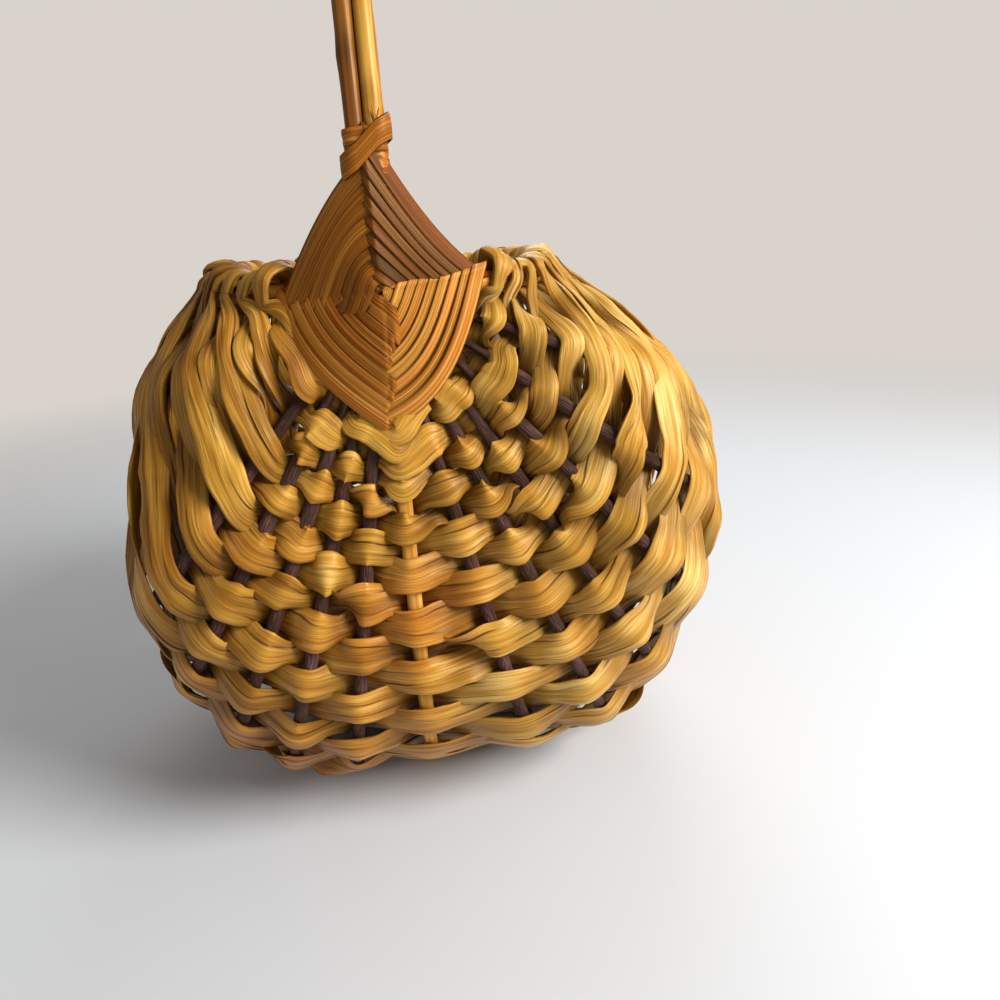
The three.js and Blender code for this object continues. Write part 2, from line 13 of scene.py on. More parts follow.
import bpy
import numpy as np
from mathutils import Matrix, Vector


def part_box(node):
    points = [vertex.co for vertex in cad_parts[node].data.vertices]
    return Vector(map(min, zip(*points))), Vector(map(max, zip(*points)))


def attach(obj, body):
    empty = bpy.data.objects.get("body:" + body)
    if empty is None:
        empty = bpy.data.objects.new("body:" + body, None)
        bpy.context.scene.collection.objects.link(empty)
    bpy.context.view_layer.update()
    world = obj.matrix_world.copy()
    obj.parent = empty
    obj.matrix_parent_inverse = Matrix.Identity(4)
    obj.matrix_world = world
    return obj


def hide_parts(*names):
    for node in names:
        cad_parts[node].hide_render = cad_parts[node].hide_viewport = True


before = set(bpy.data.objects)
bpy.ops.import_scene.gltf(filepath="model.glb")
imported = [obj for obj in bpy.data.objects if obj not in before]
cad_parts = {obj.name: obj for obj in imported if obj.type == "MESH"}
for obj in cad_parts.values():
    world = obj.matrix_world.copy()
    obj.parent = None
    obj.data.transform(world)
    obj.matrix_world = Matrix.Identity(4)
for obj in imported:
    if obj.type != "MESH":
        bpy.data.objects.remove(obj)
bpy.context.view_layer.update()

log = logging.getLogger("leaf_basket")

Array = np.ndarray
Rng = np.random.Generator
Material = bpy.types.Material
NodeTree = bpy.types.NodeTree
Socket = bpy.types.NodeSocket

METRES = 0.001
# Pieces shift their grain by up to this many millimetres, so that no two look alike
GRAIN_SHIFT = 900.0
FULL_TURN = 2.0 * math.pi
X_AXIS, Y_AXIS, Z_AXIS = np.eye(3)


# Numbers and vectors


def smooth(value: Array) -> Array:
    """The value held to 0 to 1 and eased at both ends."""
    held = np.clip(value, 0.0, 1.0)
    return held * held * (3.0 - 2.0 * held)


def mix(start: Array, end: Array, share: Array) -> Array:
    """The value at a share of the way from start to end."""
    return start + (end - start) * share


def unit(vectors: Array) -> Array:
    """The vectors at length 1."""
    return vectors / np.maximum(np.linalg.norm(vectors, axis=-1, keepdims=True), 1e-9)


def run_lengths(points: Array) -> Array:
    """Distance along each line of points, whose last two axes are the place on it and the coordinates."""
    steps = np.linalg.norm(np.diff(points, axis=-2), axis=-1)
    start = np.zeros(steps.shape[:-1] + (1,))
    return np.concatenate([start, np.cumsum(steps, axis=-1)], axis=-1)


def ripple(place: Array, rng: Rng, length: float) -> Array:
    """Smooth unevenness along a line: a sum of four sines with lengths near the one given.

    Args:
        place: Distances, one line to a row where it has two axes.
        rng: Seeded source of the lengths and phases.
        length: Typical length of a wave, in the unit of place.

    Returns:
        Values of about -1 to 1, in the shape of place.
    """
    waves = 4
    lines = place.shape[:-1] + (1,)
    total = np.zeros(place.shape)
    for _ in range(waves):
        wave = length * rng.uniform(0.6, 1.7, lines)
        total += np.sin(FULL_TURN * place / wave + rng.uniform(0.0, FULL_TURN, lines))
    return total / math.sqrt(2.0 * waves)


def ring_angles(sides: int) -> Array:
    """Even angles round a ring, one to a side."""
    return np.linspace(0.0, FULL_TURN, sides, endpoint=False)


# Meshes


@dataclass
class Sheet:
    """A grid of points, whose last column joins the first, with the values that its material reads.

    Attributes:
        points: Places in millimetres, shape (along, across, 3).
        along: Distance along the grain, in millimetres. Together with across it spreads to the shape
            (along, across) or one more each way.
        across: Distance across the grain.
        values: Named values, each of which spreads to the shape (along, across).
        loop: Whether the last row joins the first.
    """

    points: Array
    along: Array
    across: Array
    values: dict[str, Array | float] = field(default_factory=dict)
    loop: bool = False

    def corners(self) -> tuple[Array, Array, Array]:
        """Rows and columns of each face's four corners, not yet wrapped round, and their points' numbers."""
        rows, columns = self.points.shape[:2]
        firsts = np.meshgrid(np.arange(rows if self.loop else rows - 1), np.arange(columns), indexing="ij")
        row, column = (first.reshape(-1, 1) for first in firsts)
        row, column = row + [0, 1, 1, 0], column + [0, 0, 1, 1]
        return row, column, (row % rows) * columns + column % columns


class MeshMaker:
    """Turns sheets of points into one closed mesh object that rides on the basket."""

    def __init__(self, origin: Array) -> None:
        """Keeps the place of the basket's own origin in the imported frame, in metres."""
        self.origin = origin

    def piece(
        self, name: str, sheets: list[Sheet], material: Material, node: str
    ) -> None:
        """Makes one object of several sheets, in place of a CAD node.

        Each sheet becomes a grid of four-cornered faces, and one that is no loop is closed by a
        many-cornered face at each end. A sheet whose signed volume, a third of the sum of each face's
        middle times its area vector, is negative has its faces turned round.

        Args:
            name: Name of the object.
            sheets: Grids in millimetres.
            material: Finish of the object.
            node: Name of the CAD node that the object stands for.
        """
        points, faces, sizes, coords = [], [], [], []
        values: dict[str, list[Array]] = {key: [] for key in sheets[0].values}
        start = 0
        for sheet in sheets:
            rows, columns = sheet.points.shape[:2]
            row, column, quads = sheet.corners()
            flat = sheet.points.reshape(-1, 3)
            a, b, c, d = flat[quads.T]
            volume = np.einsum("ij,ij->i", (a + b + c + d) / 4.0, np.cross(c - a, d - b)).sum()
            grain = np.stack(np.broadcast_arrays(sheet.along, sheet.across), axis=-1) * METRES
            reach = np.array(grain.shape[:2])
            quad_coords = grain[row % reach[0], column % reach[1]]
            caps, cap_coords = [], []
            if not sheet.loop:
                first = np.arange(columns)
                caps = [first, (rows - 1) * columns + first[::-1]]
                cap_coords = [grain[0, :columns], grain[rows - 1, :columns][::-1]]
            if volume < 0.0:
                quads, quad_coords = quads[:, ::-1], quad_coords[:, ::-1]
                caps = [cap[::-1] for cap in caps]
                cap_coords = [pair[::-1] for pair in cap_coords]
            points.append(flat)
            faces += [(quads + start).ravel(), *[cap + start for cap in caps]]
            sizes += [np.full(len(quads), 4), *[np.array([len(cap)]) for cap in caps]]
            coords += [quad_coords.reshape(-1, 2), *cap_coords]
            for key, kept in values.items():
                kept.append(np.broadcast_to(sheet.values[key], (rows, columns)).ravel())
            start += len(flat)
        mesh = self._mesh(name, np.concatenate(points), np.concatenate(faces), np.concatenate(sizes))
        grain_map = mesh.uv_layers.new(name="grain")
        grain_map.data.foreach_set("uv", np.concatenate(coords).astype(np.float32).ravel())
        for key, kept in values.items():
            layer = mesh.attributes.new(key, "FLOAT", "POINT")
            layer.data.foreach_set("value", np.concatenate(kept).astype(np.float32))
        mesh.validate()
        mesh.materials.append(material)
        made = bpy.data.objects.new(name, mesh)
        bpy.context.scene.collection.objects.link(made)
        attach(made, "root")
        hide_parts(node)

    def _mesh(self, name: str, points: Array, corners: Array, sizes: Array) -> bpy.types.Mesh:
        """Writes points and faces into a smooth-shaded mesh.

        Args:
            name: Name of the mesh.
            points: Places in millimetres.
            corners: Point numbers of all faces, one face after the other.
            sizes: How many corners each face has.

        Returns:
            The mesh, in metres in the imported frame.
        """
        mesh = bpy.data.meshes.new(name)
        mesh.vertices.add(len(points))
        mesh.vertices.foreach_set("co", (points * METRES + self.origin).astype(np.float32).ravel())
        mesh.loops.add(len(corners))
        mesh.loops.foreach_set("vertex_index", corners.astype(np.int32))
        mesh.polygons.add(len(sizes))
        starts = np.concatenate([[0], np.cumsum(sizes)[:-1]])
        mesh.polygons.foreach_set("loop_start", starts.astype(np.int32))
        mesh.update(calc_edges=True)
        mesh.shade_smooth()
        return mesh


def tube(
    centres: Array, radius: Array, across: Array, sides: int, values: dict[str, Array], loop: bool = False
) -> Sheet:
    """A round rod: at each centre, a ring of points at radius times (across cos a + outward sin a).

    Args:
        centres: Centre line in millimetres, shape (along, 3).
        radius: Radius at each centre, or at each point of the rings.
        across: Direction square to the plane in which the rod bends.
        sides: Points to a ring.
        values: Values for the material, one for each centre.
        loop: Whether the rod closes on itself.

    Returns:
        The rod's skin, with its grain along the rod.
    """
    if loop:
        tangent = unit(np.roll(centres, -1, axis=0) - np.roll(centres, 1, axis=0))
    else:
        tangent = unit(np.gradient(centres, axis=0))
    outward = unit(np.cross(tangent, across))
    beside = unit(np.cross(outward, tangent))
    turn = ring_angles(sides)
    reach = radius[:, None] if radius.ndim == 1 else radius
    points = (
        centres[:, None]
        + beside[:, None] * (reach * np.cos(turn))[..., None]
        + outward[:, None] * (reach * np.sin(turn))[..., None]
    )
    ended = np.concatenate([centres, centres[:1]]) if loop else centres
    around = np.linspace(0.0, FULL_TURN * float(np.mean(reach)), sides + 1)
    spread = {key: value[:, None] for key, value in values.items()}
    return Sheet(points, run_lengths(ended)[:, None], around, spread, loop=loop)


# Materials


def linear(code: str) -> tuple[float, float, float, float]:
    """The linear colour of an sRGB hex code."""
    parts = [int(code[place : place + 2], 16) / 255.0 for place in (1, 3, 5)]
    lit = [part / 12.92 if part <= 0.04045 else ((part + 0.055) / 1.055) ** 2.4 for part in parts]
    return (lit[0], lit[1], lit[2], 1.0)


def empty_tree(holder: Material | bpy.types.World) -> NodeTree:
    """The node tree of a material or world, switched on and emptied."""
    holder.use_nodes = True
    holder.node_tree.nodes.clear()
    return holder.node_tree


def add_node(
    tree: NodeTree, kind: str, output: str | int | None, inputs: dict | None = None, **settings: object
) -> Socket | None:
    """Adds one shader node.

    Args:
        tree: Node tree that it goes into.
        kind: Blender's name of the node's type, after its common start.
        output: Name or number of the output that is wanted.
        inputs: Values and sockets by input; a socket is linked and a value is set.
        settings: The node's own settings; "stops" gives a colour ramp's places and hex colours.

    Returns:
        The output, or none where the node ends the tree.
    """
    node = tree.nodes.new("ShaderNode" + kind)
    for name, value in settings.items():
        if name != "stops":
            setattr(node, name, value)
            continue
        marks = node.color_ramp.elements
        while len(marks) < len(value):
            marks.new(1.0)
        for mark, (place, code) in zip(marks, value):
            mark.position = place
            mark.color = linear(code)
    for name, value in (inputs or {}).items():
        if isinstance(value, Socket):
            tree.links.new(value, node.inputs[name])
        else:
            node.inputs[name].default_value = value
    return None if output is None else node.outputs[output]


class Relief(Enum):
    """What stands up from a finish's surface."""

    FIBRES = "fibres"
    CRACKED_BARK = "cracked bark"


@dataclass(frozen=True)
class PlantFinish:
    """A plant material whose fibres or bark run along the piece.

    Attributes:
        name: What the real material is and how its surface was made.
        stops: Places and sRGB hex colours from the darkest fibre to the lightest.
        warm: Colour towards which the piece's "warmth" value shifts.
        crease: Colour of the painted shade that darkens folds, edges and places where a piece passes behind
            another, where the piece's value of that name is high.
        fibre_across: Spacing of the fibres in millimetres, drawn coarse enough to show.
        fibre_along: Length over which a fibre keeps its shade.
        relief_height: Height of the fibres or bark.
        roughness: Lowest and highest roughness.
        tone_share: How much of the shade comes from the piece's "tone" value.
        weights: How much comes from the fibres, the streaks and the mottling.
        relief: What stands up from the surface.
        ridge_share: Share of the relief that is the streaks' ridges rather than the fibres.
        gloss: Specular level of the surface.
        shine: Tint of its reflections, which take some of the plant's own gold.
    """

    name: str
    stops: tuple[tuple[float, str], ...]
    warm: str
    crease: str
    fibre_across: float
    fibre_along: float
    relief_height: float
    roughness: tuple[float, float]
    tone_share: float
    weights: tuple[float, float, float] = (0.24, 0.28, 0.16)
    relief: Relief = Relief.FIBRES
    ridge_share: float = 0.6
    gloss: float = 0.5
    shine: str = "#FFE0AC"

    def build(self) -> Material:
        """Makes the material.

        A noise stretched along the grain gives the fibres, a coarser one the streaks, and a third on object
        coordinates mottles whole regions. Their sum with the piece's tone picks the colour, which its warmth
        tints orange and its painted shade value darkens with painted shade.
        Fibres and streaks give the bump, and the streaks the roughness.

        Returns:
            The material.
        """
        made = bpy.data.materials.new(self.name)
        tree = empty_tree(made)
        grain = add_node(tree, "UVMap", "UV", uv_map="grain")
        place = add_node(tree, "TexCoord", "Object")
        tone, warmth, crease = (
            add_node(tree, "Attribute", "Fac", attribute_name=name) for name in ("tone", "warmth", "crease")
        )
        fine = self._streaks(tree, grain, 1.0, 1.0, 3.0)
        broad = self._streaks(tree, grain, 2.2, 4.5, 2.0)
        mottle = add_node(tree, "TexNoise", "Fac", {"Vector": place, "Scale": 55.0, "Detail": 2.0})
        parts = fine, broad, self._spread(tree, mottle), tone
        shade: Socket | float = 0.0
        for part, weight in zip(parts, (*self.weights, self.tone_share)):
            shade = add_node(tree, "Math", 0, {0: part, 1: weight, 2: shade}, operation="MULTIPLY_ADD")
        colour = add_node(tree, "ValToRGB", "Color", {"Fac": shade}, stops=self.stops)
        # Warmth tints the colour orange, then the painted shade value darkens it with painted shade in folds,
        # at edges and under other pieces
        for share, code in ((warmth, self.warm), (crease, self.crease)):
            inputs = {0: share, 6: colour, 7: linear(code)}
            colour = add_node(tree, "Mix", 2, inputs, data_type="RGBA", blend_type="MULTIPLY")
        if self.relief is Relief.CRACKED_BARK:
            height = self._cracks(tree, grain)
        else:
            inputs = {0: self.ridge_share, 2: fine, 3: broad}
            height = add_node(tree, "Mix", 0, inputs, data_type="FLOAT")
        inputs = {"Height": height, "Distance": self.relief_height * METRES}
        bump = add_node(tree, "Bump", "Normal", inputs)
        smoothest, roughest = self.roughness
        inputs = {"Value": broad, "To Min": roughest, "To Max": smoothest}
        rough = add_node(tree, "MapRange", "Result", inputs)
        inputs = {
            "Base Color": colour,
            "Roughness": rough,
            "Normal": bump,
            "IOR": CELLULOSE_IOR,
            "Specular IOR Level": self.gloss,
            "Specular Tint": linear(self.shine),
        }
        shader = add_node(tree, "BsdfPrincipled", "BSDF", inputs)
        add_node(tree, "OutputMaterial", None, {"Surface": shader})
        return made

    def _mapped(
        self, tree: NodeTree, grain: Socket, long: float = 1.0, wide: float = 1.0
    ) -> Socket:
        """The grain map scaled so that a feature of size 1 is so many fibres long and wide."""
        scale = (1.0 / (METRES * self.fibre_along * long), 1.0 / (METRES * self.fibre_across * wide), 1.0)
        return add_node(tree, "Mapping", "Vector", {"Vector": grain, "Scale": scale})

    def _streaks(
        self, tree: NodeTree, grain: Socket, long: float, wide: float, detail: float
    ) -> Socket:
        """Noise whose features are so many fibres long and wide."""
        inputs = {"Vector": self._mapped(tree, grain, long, wide), "Scale": 1.0, "Detail": detail}
        return self._spread(tree, add_node(tree, "TexNoise", "Fac", inputs, noise_dimensions="2D"))

    def _spread(self, tree: NodeTree, noise: Socket) -> Socket:
        """Noise values, which lie near 0.5, spread over 0 to 1."""
        inputs = {"Value": noise, "From Min": 0.3, "From Max": 0.7}
        return add_node(tree, "MapRange", "Result", inputs, interpolation_type="SMOOTHSTEP")

    def _cracks(self, tree: NodeTree, grain: Socket) -> Socket:
        """Lengthwise bark cracks: the distance to the edges of long cells, flattened on their tops."""
        inputs = {"Vector": self._mapped(tree, grain), "Scale": 1.0}
        cells = add_node(
            tree, "TexVoronoi", "Distance", inputs, voronoi_dimensions="2D", feature="DISTANCE_TO_EDGE"
        )
        inputs = {"Value": cells, "From Max": 0.3}
        return add_node(tree, "MapRange", "Result", inputs, interpolation_type="SMOOTHSTEP")


# Plant cell walls bend light about as much as other cellulose does
CELLULOSE_IOR = 1.47

# Dried banana leaf, folded by hand: straw gold, satin, with fibres about 0.3 mm apart drawn at 0.45 mm
LEAF = PlantFinish(
    "folded_dry_banana_leaf",
    ((0.0, "#5E3408"), (0.3, "#99671C"), (0.62, "#C9963A"), (1.0, "#F8D684")),
    "#FFA030",
    # Painted shade colour for the folds, edges and under-passes of the leaf
    "#4A2406",
    fibre_across=0.45,
    fibre_along=18.0,
    relief_height=0.16,
    roughness=(0.3, 0.46),
    tone_share=0.4,
    weights=(0.2, 0.24, 0.16),
    ridge_share=0.7,
    gloss=0.42,
)
# Split cane, scraped: orange-brown, with straight fine fibres about 0.3 mm apart
CANE = PlantFinish(
    "split_cane_splint",
    ((0.0, "#4A2404"), (0.3, "#844C10"), (0.62, "#B27224"), (1.0, "#EAB864")),
    "#FFA850",
    # Painted shade colour for the edges and steps of the splint
    "#3A1A04",
    fibre_across=0.34,
    fibre_along=90.0,
    relief_height=0.08,
    roughness=(0.36, 0.5),
    tone_share=0.46,
    weights=(0.36, 0.12, 0.06),
    ridge_share=0.35,
    gloss=0.3,
)
# Peeled willow-like rod: golden and smooth, with long faint streaks
GOLDEN_ROD = PlantFinish(
    "peeled_golden_rod",
    ((0.0, "#80500C"), (0.35, "#B6842E"), (0.65, "#D6A64E"), (1.0, "#F8DCA0")),
    "#F0A850",
    "#5A3A10",
    fibre_across=0.7,
    fibre_along=60.0,
    relief_height=0.06,
    roughness=(0.28, 0.42),
    tone_share=0.32,
)
# The same kind of rod, browned with age and handling
DARK_ROD = PlantFinish(
    "peeled_dark_rod",
    ((0.0, "#4C2A08"), (0.35, "#7A4A16"), (0.65, "#9C6A28"), (1.0, "#C8964C")),
    "#E09850",
    "#3A2408",
    fibre_across=0.7,
    fibre_along=50.0,
    relief_height=0.06,
    roughness=(0.32, 0.46),
    tone_share=0.32,
    gloss=0.4,
)
# Twig with its bark on: matt purple-brown, cracked lengthwise about every 0.6 mm
BARK = PlantFinish(
    "dark_twig_bark",
    ((0.0, "#1E1210"), (0.35, "#3E2824"), (0.7, "#583A36"), (1.0, "#7E5E58")),
    "#B08070",
    "#2A1A18",
    fibre_across=0.75,
    fibre_along=5.5,
    relief_height=0.22,
    roughness=(0.6, 0.8),
    relief=Relief.CRACKED_BARK,
    tone_share=0.32,
    gloss=0.35,
)


# Shape of the body


@dataclass(frozen=True)
class BodyShape:
    """Sizes of the basket on its frame's centre lines, in millimetres, as its CAD source has them."""

    rim_half_length: float = 80.0
    rim_half_width: float = 57.0
    right_half_width: float = 113.0
    left_half_width: float = 96.0
    widest_depth: float = 91.0
    lobe_depth: float = 199.0
    rest_depth: float = 180.0
    rest_settle: float = 1.6
    keel_lift: float = 15.0
    end_bulge: float = 26.0
    handle_rise: float = 135.0
    section_exponent: float = 2.25
    rim_exponent: float = 2.3
    handle_exponent: float = 2.2
    right_rib_angles: tuple[float, ...] = (19.0, 38.0, 56.0, 76.0, 94.0, 119.0)
    left_rib_angles: tuple[float, ...] = (16.0, 33.0, 49.0, 66.0, 84.0, 121.0)
    keel_dip_angle: float = 26.0
    bulge_start_angle: float = 80.0
    rim_radius: float = 2.6
    handle_radius: float = 2.25
    second_radius: float = 2.1
    pair_blend: float = 9.0
    second_start: float = 16.0
    rib_radius: float = 2.0
    rib_tip_radius: float = 1.1
    rib_taper: float = 45.0
    rib_tuck_share: float = 0.86
    rib_dip_length: float = 26.0
    rib_tuck_gap: float = 0.7
    keel_blend: float = 25.0
    eye_drop: float = 34.0
    eye_half_width: float = 27.0
    eye_hub_blend: float = 14.0
    fit_gap: float = 0.3

    @property
    def hoop_step(self) -> float:
        """How far the handle hoop stands outside the rim hoop where they cross."""
        return self.rim_radius + self.handle_radius + self.fit_gap

    @property
    def pair_offset(self) -> float:
        """Half the spacing of the handle's two rods."""
        return (self.handle_radius + self.second_radius + self.fit_gap) / 2.0

    def upper_reach(self, side: float) -> float:
        """Height that the upper superellipse would reach on a side, so that it meets the rim."""
        width = self.left_half_width if side < 0 else self.right_half_width
        share = (self.rim_half_width / width) ** self.section_exponent
        return self.widest_depth / (1.0 - share) ** (1.0 / self.section_exponent)

    def rim_angle(self, side: float) -> float:
        """Angle from the keel at which the section meets the rim, negative on the left."""
        share = (self.widest_depth / self.upper_reach(side)) ** (self.section_exponent / 2.0)
        return math.copysign(math.pi - math.acos(share), side)

    def section(self, angle: float) -> tuple[float, float]:
        """Point of the middle section at an angle from the keel.

        It is a superellipse: x is the half width times sin to a power, and z the reach times cos to
        it, below or above the widest place, and a bell-shaped lift raises the keel.

        Args:
            angle: Angle from the keel in radians, negative to the left.

        Returns:
            x and z in millimetres.
        """
        power = 2.0 / self.section_exponent
        width = self.left_half_width if angle < 0 else self.right_half_width
        x = width * math.copysign(abs(math.sin(angle)) ** power, math.sin(angle))
        drop = (self.lobe_depth - self.widest_depth) * abs(math.cos(angle)) ** power
        rise = self.upper_reach(angle) * abs(math.cos(angle)) ** power
        lift = self.keel_lift * math.exp(-((angle / math.radians(self.keel_dip_angle)) ** 2))
        return x, (rise if math.cos(angle) < 0 else -drop) - self.widest_depth + lift

    def bulge_share(self, angle: float) -> float:
        """Share of the end bulge at an angle: none at the rim and all of it below the belly."""
        rim = abs(self.rim_angle(-1.0 if angle < 0 else 1.0))
        share = (rim - abs(angle)) / (rim - math.radians(self.bulge_start_angle))
        return float(smooth(np.array(share)))

    def settled(self, z: Array) -> Array:
        """Heights with the underside flattened where the basket rests."""
        past = np.maximum(-z - self.rest_depth, 0.0)
        return np.maximum(z, -self.rest_depth) - self.rest_settle * (1.0 - np.exp(-past / self.rest_settle))

    def spread(self, turn: Array) -> Array:
        """Spread from the long axis as a share of the middle section: sin to a power."""
        return np.maximum(np.sin(turn), 0.0) ** (2.0 / self.rim_exponent)

    def turn_of(self, spread: float) -> float:
        """Turn at which the body has a spread, on the near half."""
        return math.asin(min(spread, 1.0) ** (self.rim_exponent / 2.0))

    @property
    def side_corner_turn(self) -> float:
        """Turn at which the rim passes the side corners of the eye's diamond."""
        return self.turn_of(self.eye_half_width / self.rim_half_width)

    @property
    def foot_turn(self) -> float:
        """Turn at which the keel passes the foot of the eye's diamond."""
        return self.turn_of(self.eye_drop / abs(self.section(0.0)[1]))

    def end_reach(self, turn: Array, angle: float) -> Array:
        """Distance from the middle: a superellipse in cos, and a bulge with the square of sin 2t."""
        straight = self.rim_half_length * np.abs(np.cos(turn)) ** (2.0 / self.rim_exponent)
        return straight + self.end_bulge * self.bulge_share(angle) * np.sin(2.0 * turn) ** 2

    def keel_reach(self, turn: Array) -> Array:
        """Distance of the keel's centre from the middle: it stands out by the hoop step at the eye."""
        depth = self.section(0.0)[1] * self.spread(turn)
        return self.end_reach(turn, 0.0) + self.hoop_step * np.exp(-((depth / self.keel_blend) ** 2))

    def eye_edge_spread(self, angle: float) -> float:
        """Spread at which a line at an angle crosses the edge of the eye's diamond."""
        x, z = self.section(angle)
        return 1.0 / (abs(x) / self.eye_half_width + abs(z) / self.eye_drop)

    def rib_dip(self, angle: float) -> float:
        """How far a rib dips in behind the eye's edge."""
        spread = self.eye_edge_spread(angle)
        rim = self.end_reach(np.array(self.side_corner_turn), self.rim_angle(1.0))
        rim_front = rim + self.rim_radius + self.fit_gap
        keel_front = self.keel_reach(np.array(self.foot_turn)) + self.handle_radius + self.fit_gap
        back = mix(keel_front, rim_front, abs(self.section(angle)[0]) * spread / self.eye_half_width)
        edge = self.end_reach(np.array(self.turn_of(spread)), angle)
        return max(float(edge - back) + self.rib_tuck_gap + self.rib_tip_radius, 0.0)

    def rib(self, turn: Array, angle: float) -> Array:
        """Centre line of a rib: the section's point times the spread, dipping in behind both eyes."""
        x, z = self.section(angle)
        spread = self.spread(turn)
        past = np.maximum((spread - self.eye_edge_spread(angle)) * math.hypot(x, z), 0.0)
        dip = self.rib_dip(angle) * np.exp(-((past / self.rib_dip_length) ** 2))
        y = -np.sign(np.cos(turn)) * (self.end_reach(turn, angle) - dip)
        return np.stack([x * spread, y, self.settled(z * spread)], axis=-1)

    def keel(self, turn: Array) -> Array:
        """Centre line of the handle hoop below the rim."""
        z = self.settled(self.section(0.0)[1] * self.spread(turn))
        return np.stack([np.zeros_like(turn), -np.sign(np.cos(turn)) * self.keel_reach(turn), z], axis=-1)

    def rim(self, turn: Array, side: float) -> Array:
        """Centre line of half of the rim hoop, on the side of the sign given."""
        y = -np.sign(np.cos(turn)) * self.end_reach(turn, self.rim_angle(side))
        return np.stack([side * self.rim_half_width * self.spread(turn), y, np.zeros_like(turn)], axis=-1)

    def arch(self, turn: Array, side: float) -> Array:
        """Centre line of one of the handle's two rods: a superellipse that leans off the middle."""
        power = 2.0 / self.handle_exponent
        z = self.handle_rise * np.maximum(np.sin(turn), 0.0) ** power
        y = -np.sign(np.cos(turn)) * (self.rim_half_length + self.hoop_step) * np.abs(np.cos(turn)) ** power
        return np.stack([side * self.pair_offset * smooth(z / self.pair_blend), y, z], axis=-1)

    def arch_turn(self, height: float) -> float:
        """Turn at which the arch has a height, on the near half."""
        return math.asin((height / self.handle_rise) ** (self.handle_exponent / 2.0))


@dataclass
class FrameLine:
    """Centre line of a rod, from eye to eye.

    Attributes:
        points: Close points of the line in millimetres.
        lashed: Length at each end that the eye covers.
        radius: Radius of the rod away from its tips.
        tip_radius: Radius at its tips.
        taper: Length over which the radius changes.
    """

    points: Array
    lashed: float
    radius: float
    tip_radius: float
    taper: float

    def __post_init__(self) -> None:
        """Measures the line."""
        self.distance = run_lengths(self.points)
        self.length = float(self.distance[-1])
        self.tangent = unit(np.gradient(self.points, self.distance, axis=0))

    def pick(self, field_values: Array, distance: Array) -> Array:
        """The values of a field at distances along the line."""
        picked = [np.interp(distance, self.distance, field_values[:, axis]) for axis in range(3)]
        return np.stack(picked, axis=-1)

    def radius_at(self, distance: Array) -> Array:
        """Radius of the rod at distances along the line."""
        nearer = np.minimum(distance, self.length - distance)
        return mix(self.tip_radius, self.radius, smooth(nearer / self.taper))

    def evenly(self, steps: int) -> tuple[Array, Array]:
        """Points at so many even steps, and their distances along the line."""
        distance = np.linspace(0.0, self.length, steps + 1)
        return self.pick(self.points, distance), distance


# Points on a line of the frame, close enough for straight steps between them
CLOSE_POINTS = 1400


class BasketFrame:
    """The lines of the basket's hoops and ribs, in the order in which a row of the weave meets them."""

    def __init__(self, shape: BodyShape) -> None:
        """Works out every line from the body's sizes."""
        self.shape = shape
        turns = np.linspace(0.0, np.pi, CLOSE_POINTS)
        corner = shape.side_corner_turn
        self.rims = [
            self._hoop(shape.rim(turns, side), turns, corner, shape.rim_radius) for side in (-1.0, 1.0)
        ]
        self.keel = self._hoop(shape.keel(turns), turns, shape.foot_turn, shape.handle_radius)
        self.left_ribs = [self._rib(-math.radians(angle)) for angle in shape.left_rib_angles]
        self.right_ribs = [self._rib(math.radians(angle)) for angle in shape.right_rib_angles]
        self.crossed = [self.rims[0], *self.left_ribs[::-1], self.keel, *self.right_ribs, self.rims[1]]

    def _hoop(self, points: Array, turns: Array, corner: float, radius: float) -> FrameLine:
        """A hoop's line whose ends are lashed up to the turn of the eye's corner."""
        lashed = float(np.interp(corner, turns, run_lengths(points)))
        return FrameLine(points, lashed, radius, tip_radius=radius, taper=1.0)

    def _rib(self, angle: float) -> FrameLine:
        """A rib's line, from the tip behind one eye to the tip behind the other."""
        shape = self.shape
        spread = shape.eye_edge_spread(angle)
        tip = shape.turn_of(spread * shape.rib_tuck_share)
        turns = np.linspace(tip, np.pi - tip, CLOSE_POINTS)
        points = shape.rib(turns, angle)
        tucked = float(np.interp(shape.turn_of(spread), turns, run_lengths(points)))
        return FrameLine(points, tucked, shape.rib_radius, shape.rib_tip_radius, shape.rib_taper)


# Rods and ribs


